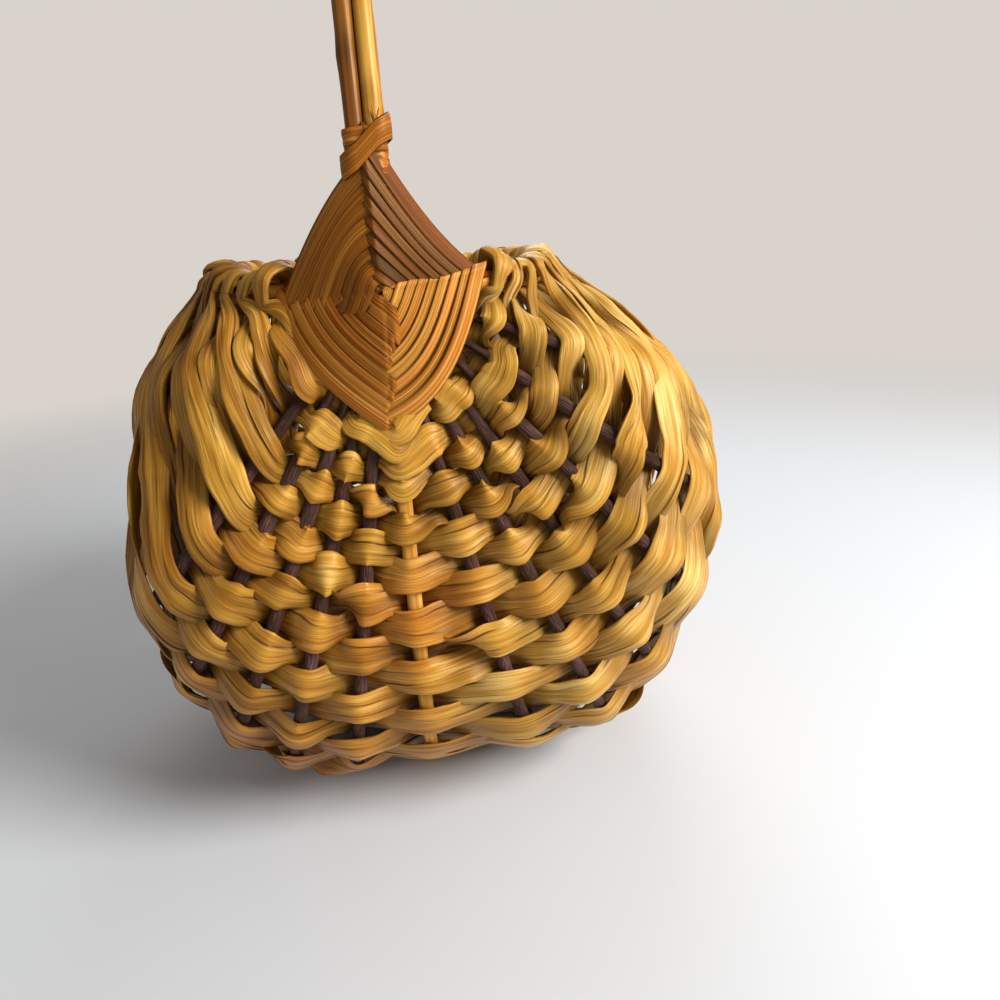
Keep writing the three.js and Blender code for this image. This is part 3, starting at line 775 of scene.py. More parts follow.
@dataclass
class Rods:
    """The two hoops and the handle's second rod: peeled, with knots and a little unevenness.

    Attributes:
        lines: Lines of the frame.
        sides: Points round a rod.
        knot_rise: How far a knot swells the rod, as a share of its radius.
        knot_length: Length of a knot in millimetres.
        knot_spacing: Length of rod to a knot.
        knot_margin: Length at each end that has none.
        waves: Unevenness along the rod, as a share of its radius.
        grooves: Depth of the lobes round it, three and five to a turn, as shares of its radius.
        slivers: For each fibre torn loose above the near eye, the places across the handle and the
            heights of its foot and its tip.
    """

    lines: BasketFrame
    sides: int = 20
    knot_rise: float = 0.13
    knot_length: float = 3.2
    knot_spacing: float = 60.0
    knot_margin: float = 20.0
    waves: float = 0.022
    grooves: tuple[float, float] = (0.02, 0.015)
    slivers: tuple[tuple[float, ...], ...] = ((3.2, 38.0, 2.4, 43.4), (2.6, 38.0, 4.2, 42.6))

    def build(self, maker: MeshMaker, golden: Material, dark: Material) -> None:
        """Makes the three rods in place of their CAD nodes."""
        shape = self.lines.shape
        rng = np.random.default_rng(11)
        left, right = (line.evenly(110)[0] for line in self.lines.rims)
        ring = np.concatenate([right[:-1], left[::-1][:-1]])
        rim = self._rod(ring, shape.rim_radius, Z_AXIS, rng, loop=True)
        maker.piece("rim_hoop_rod", [rim], golden, "rim_hoop")
        centres, _ = self._arch(0.0, 1.0, shape.handle_radius).evenly(150)
        keel, _ = self.lines.keel.evenly(190)
        ring = np.concatenate([centres[:-1], keel[::-1][:-1]])
        hoop = self._rod(ring, shape.handle_radius, X_AXIS, rng, loop=True)
        slivers = [self._sliver(*ends) for ends in self.slivers]
        maker.piece("handle_and_keel_rod", [hoop, *slivers], golden, "handle_hoop")
        second = self._arch(shape.arch_turn(shape.second_start), -1.0, shape.second_radius + shape.fit_gap)
        centres, distance = second.evenly(140)
        rod = self._rod(centres, second.radius_at(distance), X_AXIS, rng)
        maker.piece("handle_dark_rod", [rod], dark, "handle_second_rod")
        log.info("rods: rim hoop, handle and keel hoop, second handle rod")

    def _arch(self, start: float, side: float, radius: float) -> FrameLine:
        """The line of one of the handle's rods, from a turn near one eye to the same near the other."""
        points = self.lines.shape.arch(np.linspace(start, np.pi - start, 500), side)
        return FrameLine(points, lashed=0.0, radius=radius, tip_radius=1.6, taper=6.0)

    def _sliver(self, foot_across: float, foot: float, tip_across: float, tip: float) -> Sheet:
        """A fibre torn loose from the handle's front: a spindle that stands off more towards its tip.

        Args:
            foot_across: Place of its foot across the handle.
            foot: Height of its foot.
            tip_across: Place of its tip across the handle.
            tip: Height of its tip.

        Returns:
            The fibre's skin.
        """
        shape = self.lines.shape
        share = np.linspace(0.0, 1.0, 14)
        height = mix(foot, tip, share)
        turn = np.arcsin((height / shape.handle_rise) ** (shape.handle_exponent / 2.0))
        front = shape.arch(turn, 1.0)[:, 1] - shape.handle_radius
        stand_off, thinnest, swell = 1.1, 0.04, 0.45
        across = mix(foot_across, tip_across, share)
        centres = np.stack([across, front - stand_off * share**2, height], axis=-1)
        radius = thinnest + swell * np.sqrt(share * (1.0 - share) * (1.0 - 0.6 * share))
        values = {"tone": 0.9 - 0.9 * share, "warmth": 0.2 + 0.6 * share}
        return tube(centres, radius, X_AXIS, 8, values)

    def _rod(
        self, centres: Array, radius: Array | float, across: Array, rng: Rng, loop: bool = False
    ) -> Sheet:
        """A rod whose skin swells at knots and waves slightly.

        The radius is multiplied by 1 + bells at random knots + low sines along and round the rod.

        Args:
            centres: Centre line.
            radius: Radius, one value or one for each centre.
            across: Direction square to the plane in which the rod bends.
            rng: Seeded source of the knots.
            loop: Whether the rod closes on itself.

        Returns:
            The rod's skin.
        """
        distance = run_lengths(centres)
        turn = ring_angles(self.sides)
        margin, count = self.knot_margin, int(distance[-1] / self.knot_spacing)
        knots = rng.uniform(margin, distance[-1] - margin, count)
        sides = rng.uniform(0.0, FULL_TURN, count)
        near = np.exp(-(((distance[:, None] - knots) / self.knot_length) ** 2))
        facing = 0.45 + 0.55 * np.cos(turn[None, :, None] - sides)
        swell = self.knot_rise * (near[:, None, :] * facing).sum(axis=-1)
        ends = np.minimum(smooth(distance / 8.0), smooth((distance[-1] - distance) / 8.0))
        waves = self.waves * ripple(distance, rng, 26.0) * ends
        three, five = self.grooves
        grooves = three * np.sin(3.0 * turn + 2.0)[None] + five * np.sin(5.0 * turn)[None]
        base = np.broadcast_to(radius, distance.shape)[:, None]
        skin = base * (1.0 + swell + waves[:, None] + grooves)
        values = {
            "tone": 0.5 + 0.35 * ripple(distance, rng, 70.0) - 0.5 * near.sum(axis=1),
            "warmth": np.clip(0.3 + 0.4 * ripple(distance, rng, 90.0), 0.0, 1.0),
        }
        return tube(centres, skin, across, self.sides, values, loop)


@dataclass
class Ribs:
    """Twelve bark-covered twigs that run from eye to eye.

    Attributes:
        lines: Lines of the frame.
        steps: Rings along a twig.
        sides: Points round a twig.
        joint_spacing: Least and greatest distance of the joints where leaves grew.
        joint_length: Length of a joint.
        joint_rise: How far it swells the twig, as a share of its radius.
        roughness: Unevenness along the bark, as a share of the radius.
        lumps: Depth of the two lobes round it that turn along the twig, as a share of the radius.
    """

    lines: BasketFrame
    steps: int = 230
    sides: int = 16
    joint_spacing: tuple[float, float] = (30.0, 42.0)
    joint_length: float = 2.4
    joint_rise: float = 0.1
    roughness: float = 0.03
    lumps: float = 0.035

    def build(self, maker: MeshMaker, bark: Material) -> None:
        """Makes each twig in place of its CAD node."""
        shape = self.lines.shape
        for side, sign, seed, lines, angles in (
            ("right", 1.0, 300, self.lines.right_ribs, shape.right_rib_angles),
            ("left", -1.0, 350, self.lines.left_ribs, shape.left_rib_angles),
        ):
            for place, (line, angle) in enumerate(zip(lines, angles), start=1):
                twig = self._twig(line, sign * math.radians(angle), np.random.default_rng(seed + place))
                maker.piece(f"bark_rib_{side}_{place}", [twig], bark, f"rib_{side}_{place}")
        log.info("ribs: six in each lobe")

    def _twig(self, line: FrameLine, angle: float, rng: Rng) -> Sheet:
        """One twig's skin, with joints where leaves grew, whose radius is multiplied like a rod's.

        Args:
            line: Centre line.
            angle: Angle from the keel, in radians.
            rng: Seeded source of its unevenness.

        Returns:
            The twig's skin.
        """
        x, z = self.lines.shape.section(angle)
        across = unit(np.cross(np.array([x, 0.0, z]), Y_AXIS))
        centres, distance = line.evenly(self.steps)
        turn = ring_angles(self.sides)
        joints = np.arange(rng.uniform(12.0, 30.0), line.length, rng.uniform(*self.joint_spacing))
        near = np.exp(-(((distance[:, None] - joints) / self.joint_length) ** 2)).sum(axis=1)
        rough = self.roughness * ripple(distance, rng, 9.0)[:, None]
        lumps = self.lumps * np.sin(2.0 * turn[None] + distance[:, None] / 11.0 + rng.uniform(0.0, 6.0))
        skin = line.radius_at(distance)[:, None] * (1.0 + self.joint_rise * near[:, None] + rough + lumps)
        values = {
            "tone": 0.5 + 0.4 * ripple(distance, rng, 35.0) + 0.2 * near,
            "warmth": np.clip(0.2 + 0.4 * ripple(distance, rng, 60.0), 0.0, 1.0),
        }
        return tube(centres, skin, across, self.sides, values)


# Weave


def interleaved(in_gap: Array, on_rod: Array) -> Array:
    """Values in the gaps and on the rods in the order in which a strip meets them."""
    joined = np.zeros((len(in_gap), in_gap.shape[1] + on_rod.shape[1]) + in_gap.shape[2:])
    joined[:, ::2] = in_gap
    joined[:, 1::2] = on_rod
    return joined


@dataclass
class Stations:
    """Places that a set of strips passes, the same number for every strip.

    Attributes:
        place: Middle of the strip, shape (strips, stations, 3).
        face: Direction that the strip's first face looks in.
        width: Width in millimetres.
        thick: Thickness in millimetres.
        tilt: Turn of the strip about its own run, in radians.
        crown: How far the strip arches across towards its first face, as a share of its width.
        painted_under_shade: Painted shade where the strip passes behind a rib, a neighbour or the rim, from 0
            to 1.
        steps: Samples between each station and the next, one less than the stations.
    """

    place: Array
    face: Array
    width: Array
    thick: Array
    tilt: Array
    crown: Array
    painted_under_shade: Array
    steps: list[int]

    def samples(self) -> tuple[Array, Array]:
        """Span and share of the span for every sample."""
        spans = np.concatenate([np.full(count, span) for span, count in enumerate(self.steps)])
        shares = np.concatenate([np.arange(count) / count for count in self.steps])
        return np.append(spans, len(self.steps) - 1), np.append(shares, 1.0)

    def curve(self) -> Array:
        """The strips' runs: cubic spans through the stations, sampled, shape (strips, samples, 3).

        Each span is a Hermite cubic over the root of its chord's length, whose end slopes are the
        means of the two neighbouring chords' slopes, weighted by the other chord's length.
        """
        span, share = self.samples()
        chord = np.diff(self.place, axis=1)
        knot = np.sqrt(np.maximum(np.linalg.norm(chord, axis=-1, keepdims=True), 1e-6))
        slope = chord / knot
        inner = (slope[:, 1:] * knot[:, :-1] + slope[:, :-1] * knot[:, 1:]) / (knot[:, 1:] + knot[:, :-1])
        slopes = np.concatenate([slope[:, :1], inner, slope[:, -1:]], axis=1)
        t = share[None, :, None]
        start, end = self.place[:, span], self.place[:, span + 1]
        out, into = slopes[:, span] * knot[:, span], slopes[:, span + 1] * knot[:, span]
        return (
            (2 * t**3 - 3 * t**2 + 1) * start
            + (t**3 - 2 * t**2 + t) * out
            + (3 * t**2 - 2 * t**3) * end
            + (t**3 - t**2) * into
        )

    def eased(self, values: Array) -> Array:
        """Values of the stations at every sample, eased from one to the next."""
        span, share = self.samples()
        eased = smooth(share)
        if values.ndim == 3:
            eased = eased[:, None]
        return values[:, span] * (1.0 - eased) + values[:, span + 1] * eased


@dataclass
class LeafWeave:
    """The weave: 46 rows in 23 strips, each out across a row, round the rim and back across the next.

    Pitch is the distance between rows, and a gap is the space between two ribs.

    Attributes:
        lines: Lines of the frame.
        strip_count: Number of strips.
        first_pitch_share: How much the rows crowd towards the eyes on the keel.
        eye_gap: Distance from the eye to the first row.
        covered: Widths over a rib, as shares of the pitch: where rows crowd, in the belly and towards
            the rim. At 2 or more, the strips hide the rib.
        scale_share: The same share in the first rows beside the keel, where strips look like scales.
        scale_rows: Row from the eye at which the scales end, and over how many rows they do.
        loosens: Line from the keel at which the looser weave of the rim begins, and over how many.
        crowded: Pitches below which rows crowd and above which they don't.
        seat_width: Least and greatest width over a rib.
        jitter: Unevenness of the widths, as a share.
        thickness: Least thickness, and the greatest over a rib and in a gap.
        gap_share: Width in a gap, as a share of the pitch.
        gap_width: Least and greatest width there.
        leaf_area: Cross-section of a leaf strip in square millimetres.
        slip: How far strips slip along a rib, as a share of the pitch.
        pinched: Share of the gaps in which a strip is pinched, and its width there as a share.
        rim_tilt: Tilt of the strips towards the rim, in radians.
        seat_crown: Drop of a strip's edges over a rib, as a share of its width.
        pairs: Lines that an even row passes outside where rows take the ribs in pairs.
        pairs_rows: How many rows next to each eye do; these and one more pass outside the keel.
        behind: First and last rib, counted from the keel, that the very first row passes inside.
        top_skipped: Shares of the inward passes that are left out at the top ribs, left and right.
        rim_hump: How far the thickest turn over the rim stands off more than the flattest.
        rim_slant: How far along the rim the top of a turn may lean.
        wander: How far strips stray up or down in the gaps near the rim, as a share of the pitch.
        twists: Shares of the strips' runs in gaps that twist on edge, in the belly and at the rim.
        twist_angles: Least and greatest angle of such a twist in degrees.
        sway: Greatest tilt of the others out of their even lie, in degrees.
    """

    lines: BasketFrame
    strip_count: int = 23
    first_pitch_share: float = 0.54
    eye_gap: float = 1.0
    covered: tuple[float, float, float] = (1.6, 1.42, 1.26)
    scale_share: float = 1.34
    scale_rows: tuple[float, float] = (7.5, 4.0)
    loosens: tuple[float, float] = (3.2, 2.6)
    crowded: tuple[float, float] = (5.8, 10.0)
    seat_width: tuple[float, float] = (4.4, 12.4)
    jitter: float = 0.12
    thickness: tuple[float, float, float] = (0.65, 1.4, 1.8)
    gap_share: float = 1.2
    gap_width: tuple[float, float] = (3.6, 12.0)
    leaf_area: float = 7.0
    slip: float = 0.11
    pinched: tuple[float, float] = (0.16, 0.72)
    rim_tilt: float = 0.36
    seat_crown: float = 0.03
    pairs: str = "+--++--++--++-+"
    pairs_rows: int = 3
    behind: tuple[int, int] = (2, 5)
    top_skipped: tuple[float, float] = (0.45, 0.3)
    rim_hump: float = 4.4
    rim_slant: float = 3.4
    wander: float = 0.34
    twists: tuple[float, float] = (0.08, 0.5)
    twist_angles: tuple[float, float] = (35.0, 75.0)
    sway: float = 9.0

    def __post_init__(self) -> None:
        """Works out where every row crosses every line, and its places between the lines.

        Halfway between two lines, a row is at 9/16 of both crossings less 1/16 of the next two, which
        keeps the body round.
        """
        self.rng = np.random.default_rng(2024)
        rows, lines = 2 * self.strip_count, len(self.lines.crossed)
        self.rows, self.last = rows, lines - 1
        row, line = np.meshgrid(np.arange(rows), np.arange(lines), indexing="ij")
        share = self._share(row, line)
        above, below = np.maximum(row - 1, 0), np.minimum(row + 1, rows - 1)
        step = (self._share(below, line) - self._share(above, line)) / (below - above)
        self.centre, self.rowwise = np.zeros((2, rows, lines, 3))
        self.radius, self.pitch = np.zeros((2, rows, lines))
        for number, rod in enumerate(self.lines.crossed):
            margin = rod.lashed + self.eye_gap
            woven = rod.length - 2.0 * margin
            distance = margin + share[:, number] * woven
            self.centre[:, number] = rod.pick(rod.points, distance)
            self.rowwise[:, number] = unit(rod.pick(rod.tangent, distance))
            self.radius[:, number] = rod.radius_at(distance)
            self.pitch[:, number] = woven * step[:, number]
        ends = 2.0 * self.centre[:, [0, -1]] - self.centre[:, [1, -2]]
        padded = np.concatenate([ends[:, :1], self.centre, ends[:, 1:]], axis=1)
        self.between = (9.0 * (padded[:, 1:-2] + padded[:, 2:-1]) - padded[:, :-3] - padded[:, 3:]) / 16.0
        travel = padded[:, 2:] - padded[:, :-2]
        travel -= self.rowwise * np.einsum("rlk,rlk->rl", travel, self.rowwise)[..., None]
        self.travel = unit(travel)
        self.outward = unit(np.cross(self.rowwise, self.travel))
        self.from_end = np.minimum(row, rows - 1 - row)
        self.side = self._sides(row, line)
        self._size_seats()

    def _sides(self, row: Array, line: Array) -> Array:
        """Which side of each line each row passes: 1 outside and -1 inside.

        In the belly, rows and lines alternate. Next to the eyes, where the ribs' tips stand close, a
        row takes them in pairs and always passes outside the keel, and the very first passes behind
        the ribs that the eye's edge covers. Part of the inward passes at the top ribs are left out.
        """
        sides = np.where((row + line) % 2 == 0, 1.0, -1.0)
        signs = np.array([1.0 if mark == "+" else -1.0 for mark in self.pairs])
        inner = (self.from_end < self.pairs_rows) & (line > 0) & (line < self.last)
        sides = np.where(inner, signs * np.where(row % 2 == 0, 1.0, -1.0), sides)
        from_keel = np.abs(line - self.last // 2)
        first, last = self.behind
        sides[(self.from_end == 0) & (from_keel >= first) & (from_keel <= last)] = -1.0
        stays = self.rng.uniform(0.0, 1.0, row.shape)
        left, right = self.top_skipped
        skipped = ((line == 1) & (stays < left)) | ((line == self.last - 1) & (stays < right))
        return np.where(skipped | ((self.from_end <= self.pairs_rows) & (from_keel == 0)), 1.0, sides)

    def _share(self, row: Array, line: Array) -> Array:
        """Place of rows on lines as a share of the woven stretch, crowded to the eyes on the keel."""
        even = (row + 0.5) / self.rows
        half = 2.0 * np.minimum(even, 1.0 - even)
        crowded = (self.first_pitch_share * half + (1.0 - self.first_pitch_share) * half**2) / 2.0
        keel = np.where(even < 0.5, crowded, 1.0 - crowded)
        middle = self.last / 2.0
        return mix(keel, even, np.abs(line - middle) / middle)

    def _shingle(self, pitch: Array, thick: Array) -> Array:
        """Tilt at which strips as close as the pitch lie over each other like roof tiles.

        The planes of two neighbours are the pitch times the sine of the tilt apart, and that is set
        to one and a half times their thickness.
        """
        return np.arcsin(np.clip(1.5 * thick / pitch, 0.07, 0.42))

    def _size_seats(self) -> None:
        """Sizes the strips where they lie on the rods.

        Where the rows crowd, a strip is wider than its pitch and nearly hides the rod. It tips with
        its far edge proud, and its middle stands off by half the width times the sine of the tilt
        and by the drop of its edges, so that its near edge lies on the rod.
        """
        rng, pitch = self.rng, self.pitch
        from_keel = np.abs(np.arange(self.last + 1) - self.last / 2.0)
        line, lines = self.loosens
        self.outer = smooth((from_keel - line) / lines)[None] * np.ones((self.rows, 1))
        low, high = self.crowded
        share = mix(self.covered[0], self.covered[1], smooth((pitch - low) / (high - low)))
        row, rows = self.scale_rows
        scales = smooth((row - self.from_end) / rows) * smooth(from_keel - 0.4)
        share = mix(mix(share, self.scale_share, scales), self.covered[2], self.outer)
        self.width = np.clip(pitch * share, *self.seat_width) * self._uneven(pitch.shape)
        self.thick = np.clip(self.leaf_area / self.width, self.thickness[0], self.thickness[1])
        from_middle = (self.rows - 1) / 2.0 - np.arange(self.rows)
        self.near = np.clip(from_middle / 4.0, -1.0, 1.0)[:, None]
        tilt = mix(self._shingle(2.0 * pitch, self.thick), 0.7 * self.rim_tilt, self.outer)
        self.tilt = (tilt + np.radians(rng.uniform(-4.0, 6.0, pitch.shape))) * self.near
        lift = self.width * (0.45 * np.abs(np.sin(self.tilt)) + self.seat_crown)
        self.reach = self.radius + 0.5 * self.thick + 0.1 + lift
        self.reach[:, [0, self.last]] = self.radius[:, [0, self.last]] + 1.2

    def _uneven(self, counts: tuple[int, ...]) -> Array:
        """Factors that make widths uneven."""
        return 1.0 + self.rng.uniform(-self.jitter, self.jitter, counts)

    def _row(self, rows: Array, lines: Array, heading: int) -> Stations:
        """Stations of one row of each strip over and under the ribs, from gap to gap.

        The strip's run waves from the top of one rod to the back of the next. In a gap, it is at the
        row's place between the rods, moved out by the mean of both offsets.

        Args:
            rows: The row of each strip.
            lines: Lines in the order in which the row meets them.
            heading: 1 from left to right, -1 back.

        Returns:
            A station in each gap and one on each rod.
        """
        rng = self.rng
        seat = np.ix_(rows, lines)
        first = np.ix_(rows, np.append(lines - heading, lines[-1]))
        second = np.ix_(rows, np.append(lines, lines[-1] + heading))
        span = np.ix_(rows, np.minimum(first[1], second[1])[0])

        def halfway(values: Array) -> Array:
            """Means of the values at the lines before and after each gap."""
            return 0.5 * (values[first] + values[second])

        offset = self.outward * (self.side * self.reach)[..., None]
        slide = self.slip * rng.uniform(-1.0, 1.0, (len(rows), len(lines), 1))
        top = self.centre[seat] + offset[seat] + slide * self.pitch[seat][..., None] * self.rowwise[seat]
        gap_face = unit(self.outward[first] + self.outward[second])
        both = self.centre[first] + self.centre[second] + offset[first] + offset[second]
        floats = self.side[first] * self.side[second] > 0
        level = floats & (self.from_end[rows][:, :1] <= self.pairs_rows)
        gap = np.where(level[..., None], 0.5 * both + 0.3 * gap_face, self.between[span] + halfway(offset))
        pitch, outer, wide = halfway(self.pitch), halfway(self.outer), halfway(self.width)
        waist = np.maximum(self.gap_share * pitch, 0.92 * wide) * mix(1.0, 1.16, outer)
        belly = smooth((self.from_end[rows][:, :1] - 3.0) / 4.0)
        waist *= np.where(floats, 1.1, mix(0.8, 1.0, np.maximum(belly, outer)))
        waist = np.clip(waist, *self.gap_width) * (1.0 + rng.uniform(-0.14, 0.08, pitch.shape))
        portion, narrowed = self.pinched
        waist *= np.where(rng.uniform(0.0, 1.0, pitch.shape) < portion, narrowed, 1.0)
        thick = np.clip(self.leaf_area / waist, self.thickness[0], self.thickness[2])
        tilt = mix(self._shingle(pitch, thick), self.rim_tilt, outer)
        twist = np.radians(self.sway) * rng.uniform(-1.0, 1.0, pitch.shape)
        twisted = rng.uniform(0.0, 1.0, pitch.shape) < mix(*self.twists, outer)
        on_edge = np.radians(rng.uniform(*self.twist_angles, pitch.shape)) * np.sign(twist)
        tilt = tilt * self.near[rows] + np.where(twisted, on_edge, twist)
        thick = np.where(twisted, np.minimum(thick, 1.0), thick)
        crown = 0.08 * rng.uniform(-0.3, 1.5, pitch.shape)
        waist = np.where(level, 1.04 * wide, waist)
        thick = np.where(level, halfway(self.thick), thick)
        tilt = np.where(level, halfway(self.tilt), tilt)
        stray = self.wander * outer * pitch * rng.uniform(-1.0, 1.0, pitch.shape)
        gap = gap + stray[..., None] * unit(self.rowwise[first] + self.rowwise[second])
        # Painted shade: darker in the gaps where the strip dives, darkest under a rib, and hardly any on
        # floats that ride on top
        painted_under_shade = np.where(floats, 0.06, 0.55), np.where(self.side[seat] > 0, 0.0, 1.0)
        return Stations(
            interleaved(gap, top),
            heading * interleaved(gap_face, self.outward[seat]),
            interleaved(waist, self.width[seat]),
            interleaved(thick, self.thick[seat]),
            heading * interleaved(tilt, self.tilt[seat]),
            heading * interleaved(crown, np.full(slide.shape[:2], self.seat_crown)),
            interleaved(*painted_under_shade),
            [8] * (2 * len(lines) + 1),
        )

    def _wrap(
        self, rows: tuple[Array, Array], line: int, angles: tuple[float, ...], lift: float, wide: float
    ) -> Stations:
        """Stations round a rim hoop, from one row's place to another's.

        Args:
            rows: Rows at which each strip's wrap starts and ends.
            line: Number of the rim's line.
            angles: Angles round the hoop in degrees, 0 outward and 90 up.
            lift: How far the strip stands off the hoop.
            wide: Width over the top as a share of the pitch.

        Returns:
            One station to an angle.
        """
        share = np.linspace(0.0, 1.0, len(angles))[None, :, None]
        first, last = rows
        upright = self.travel * (-1.0 if line == 0 else 1.0)
        centre, outward, upward = (
            mix(held[first, line][:, None], held[last, line][:, None], share)
            for held in (self.centre, self.outward, upright)
        )
        turn = np.radians(np.array(angles))[None, :, None]
        over = np.maximum(np.sin(turn), 0.0)
        face = unit(unit(outward) * np.cos(turn) + unit(upward) * np.sin(turn))
        lumps = self.rng.uniform(-0.4, 0.7, (len(first), len(angles), 1))
        lumps = (lumps + self.rim_hump * self.rng.uniform(0.0, 1.0, (len(first), 1, 1)) ** 2) * over
        lean = self.rim_slant * self.rng.uniform(-1.0, 1.0, (len(first), 1, 1)) * over
        place = centre + face * (self.radius[0, line] + lift + lumps)
        place = place + self.rowwise[first, line][:, None] * lean
        over = over[..., 0]
        pitch = self.pitch[first, line][:, None]
        counts = (len(first), len(angles))
        width = np.clip(pitch * mix(1.15, wide, over), 4.0, 10.0) * self._uneven(counts)
        tilt = np.radians(self.rng.uniform(-28.0, 28.0, counts)) * over
        thick = np.clip(self.leaf_area / width, 0.9 + 0.9 * over, 2.0)
        # Painted shade where the strip wraps the inner side of the rim, none over its top
        crown, painted_under_shade = np.broadcast_to(0.14 * over, counts), np.broadcast_to(0.3 * (1.0 - over), counts)
        return Stations(place, face, width, thick, tilt, crown, painted_under_shade, [4] * len(angles))

    def stations(self) -> Stations:
        """All stations of the strips, from the hook over the left rim to the one that ends there.

        At the left rim, each strip starts over the end of the last one, so that both rims look as if
        one leaf went round them.
        """
        out = 2 * np.arange(self.strip_count)
        back = out + 1
        before, after = np.maximum(out - 1, 0), np.minimum(back + 1, self.rows - 1)
        inner = np.arange(1, self.last)
        start = self._wrap((before, out), 0, (250.0, 212.0, 180.0, 140.0, 90.0, 40.0, 0.0, -32.0), 2.4, 2.6)
        turn = self._wrap((out, back), self.last, (-32.0, 0.0, 40.0, 90.0, 140.0, 180.0, 212.0), 1.9, 2.7)
        end = self._wrap((back, after), 0, (212.0, 180.0, 140.0, 90.0, 40.0, 0.0), 1.0, 1.6)
        parts = [start, self._row(out, inner, 1), turn, self._row(back, inner[::-1], -1), end]
        steps = [count for part in parts for count in part.steps]
        names = [held.name for held in fields(Stations)][:-1]
        joined = [np.concatenate([getattr(part, name) for part in parts], axis=1) for name in names]
        return Stations(*joined, steps[:-1])

    def build(self, maker: MeshMaker, leaf: Material) -> None:
        """Makes each strip in place of its CAD node."""
        sheets = LeafSection(self.rng).sheets(self.stations(), maker)
        for strip, sheet in enumerate(sheets, start=1):
            maker.piece(f"folded_leaf_{strip:02d}", [sheet], leaf, f"leaf_strip_{strip:02d}")
        log.info("weave: %d folded leaf strips", self.strip_count)


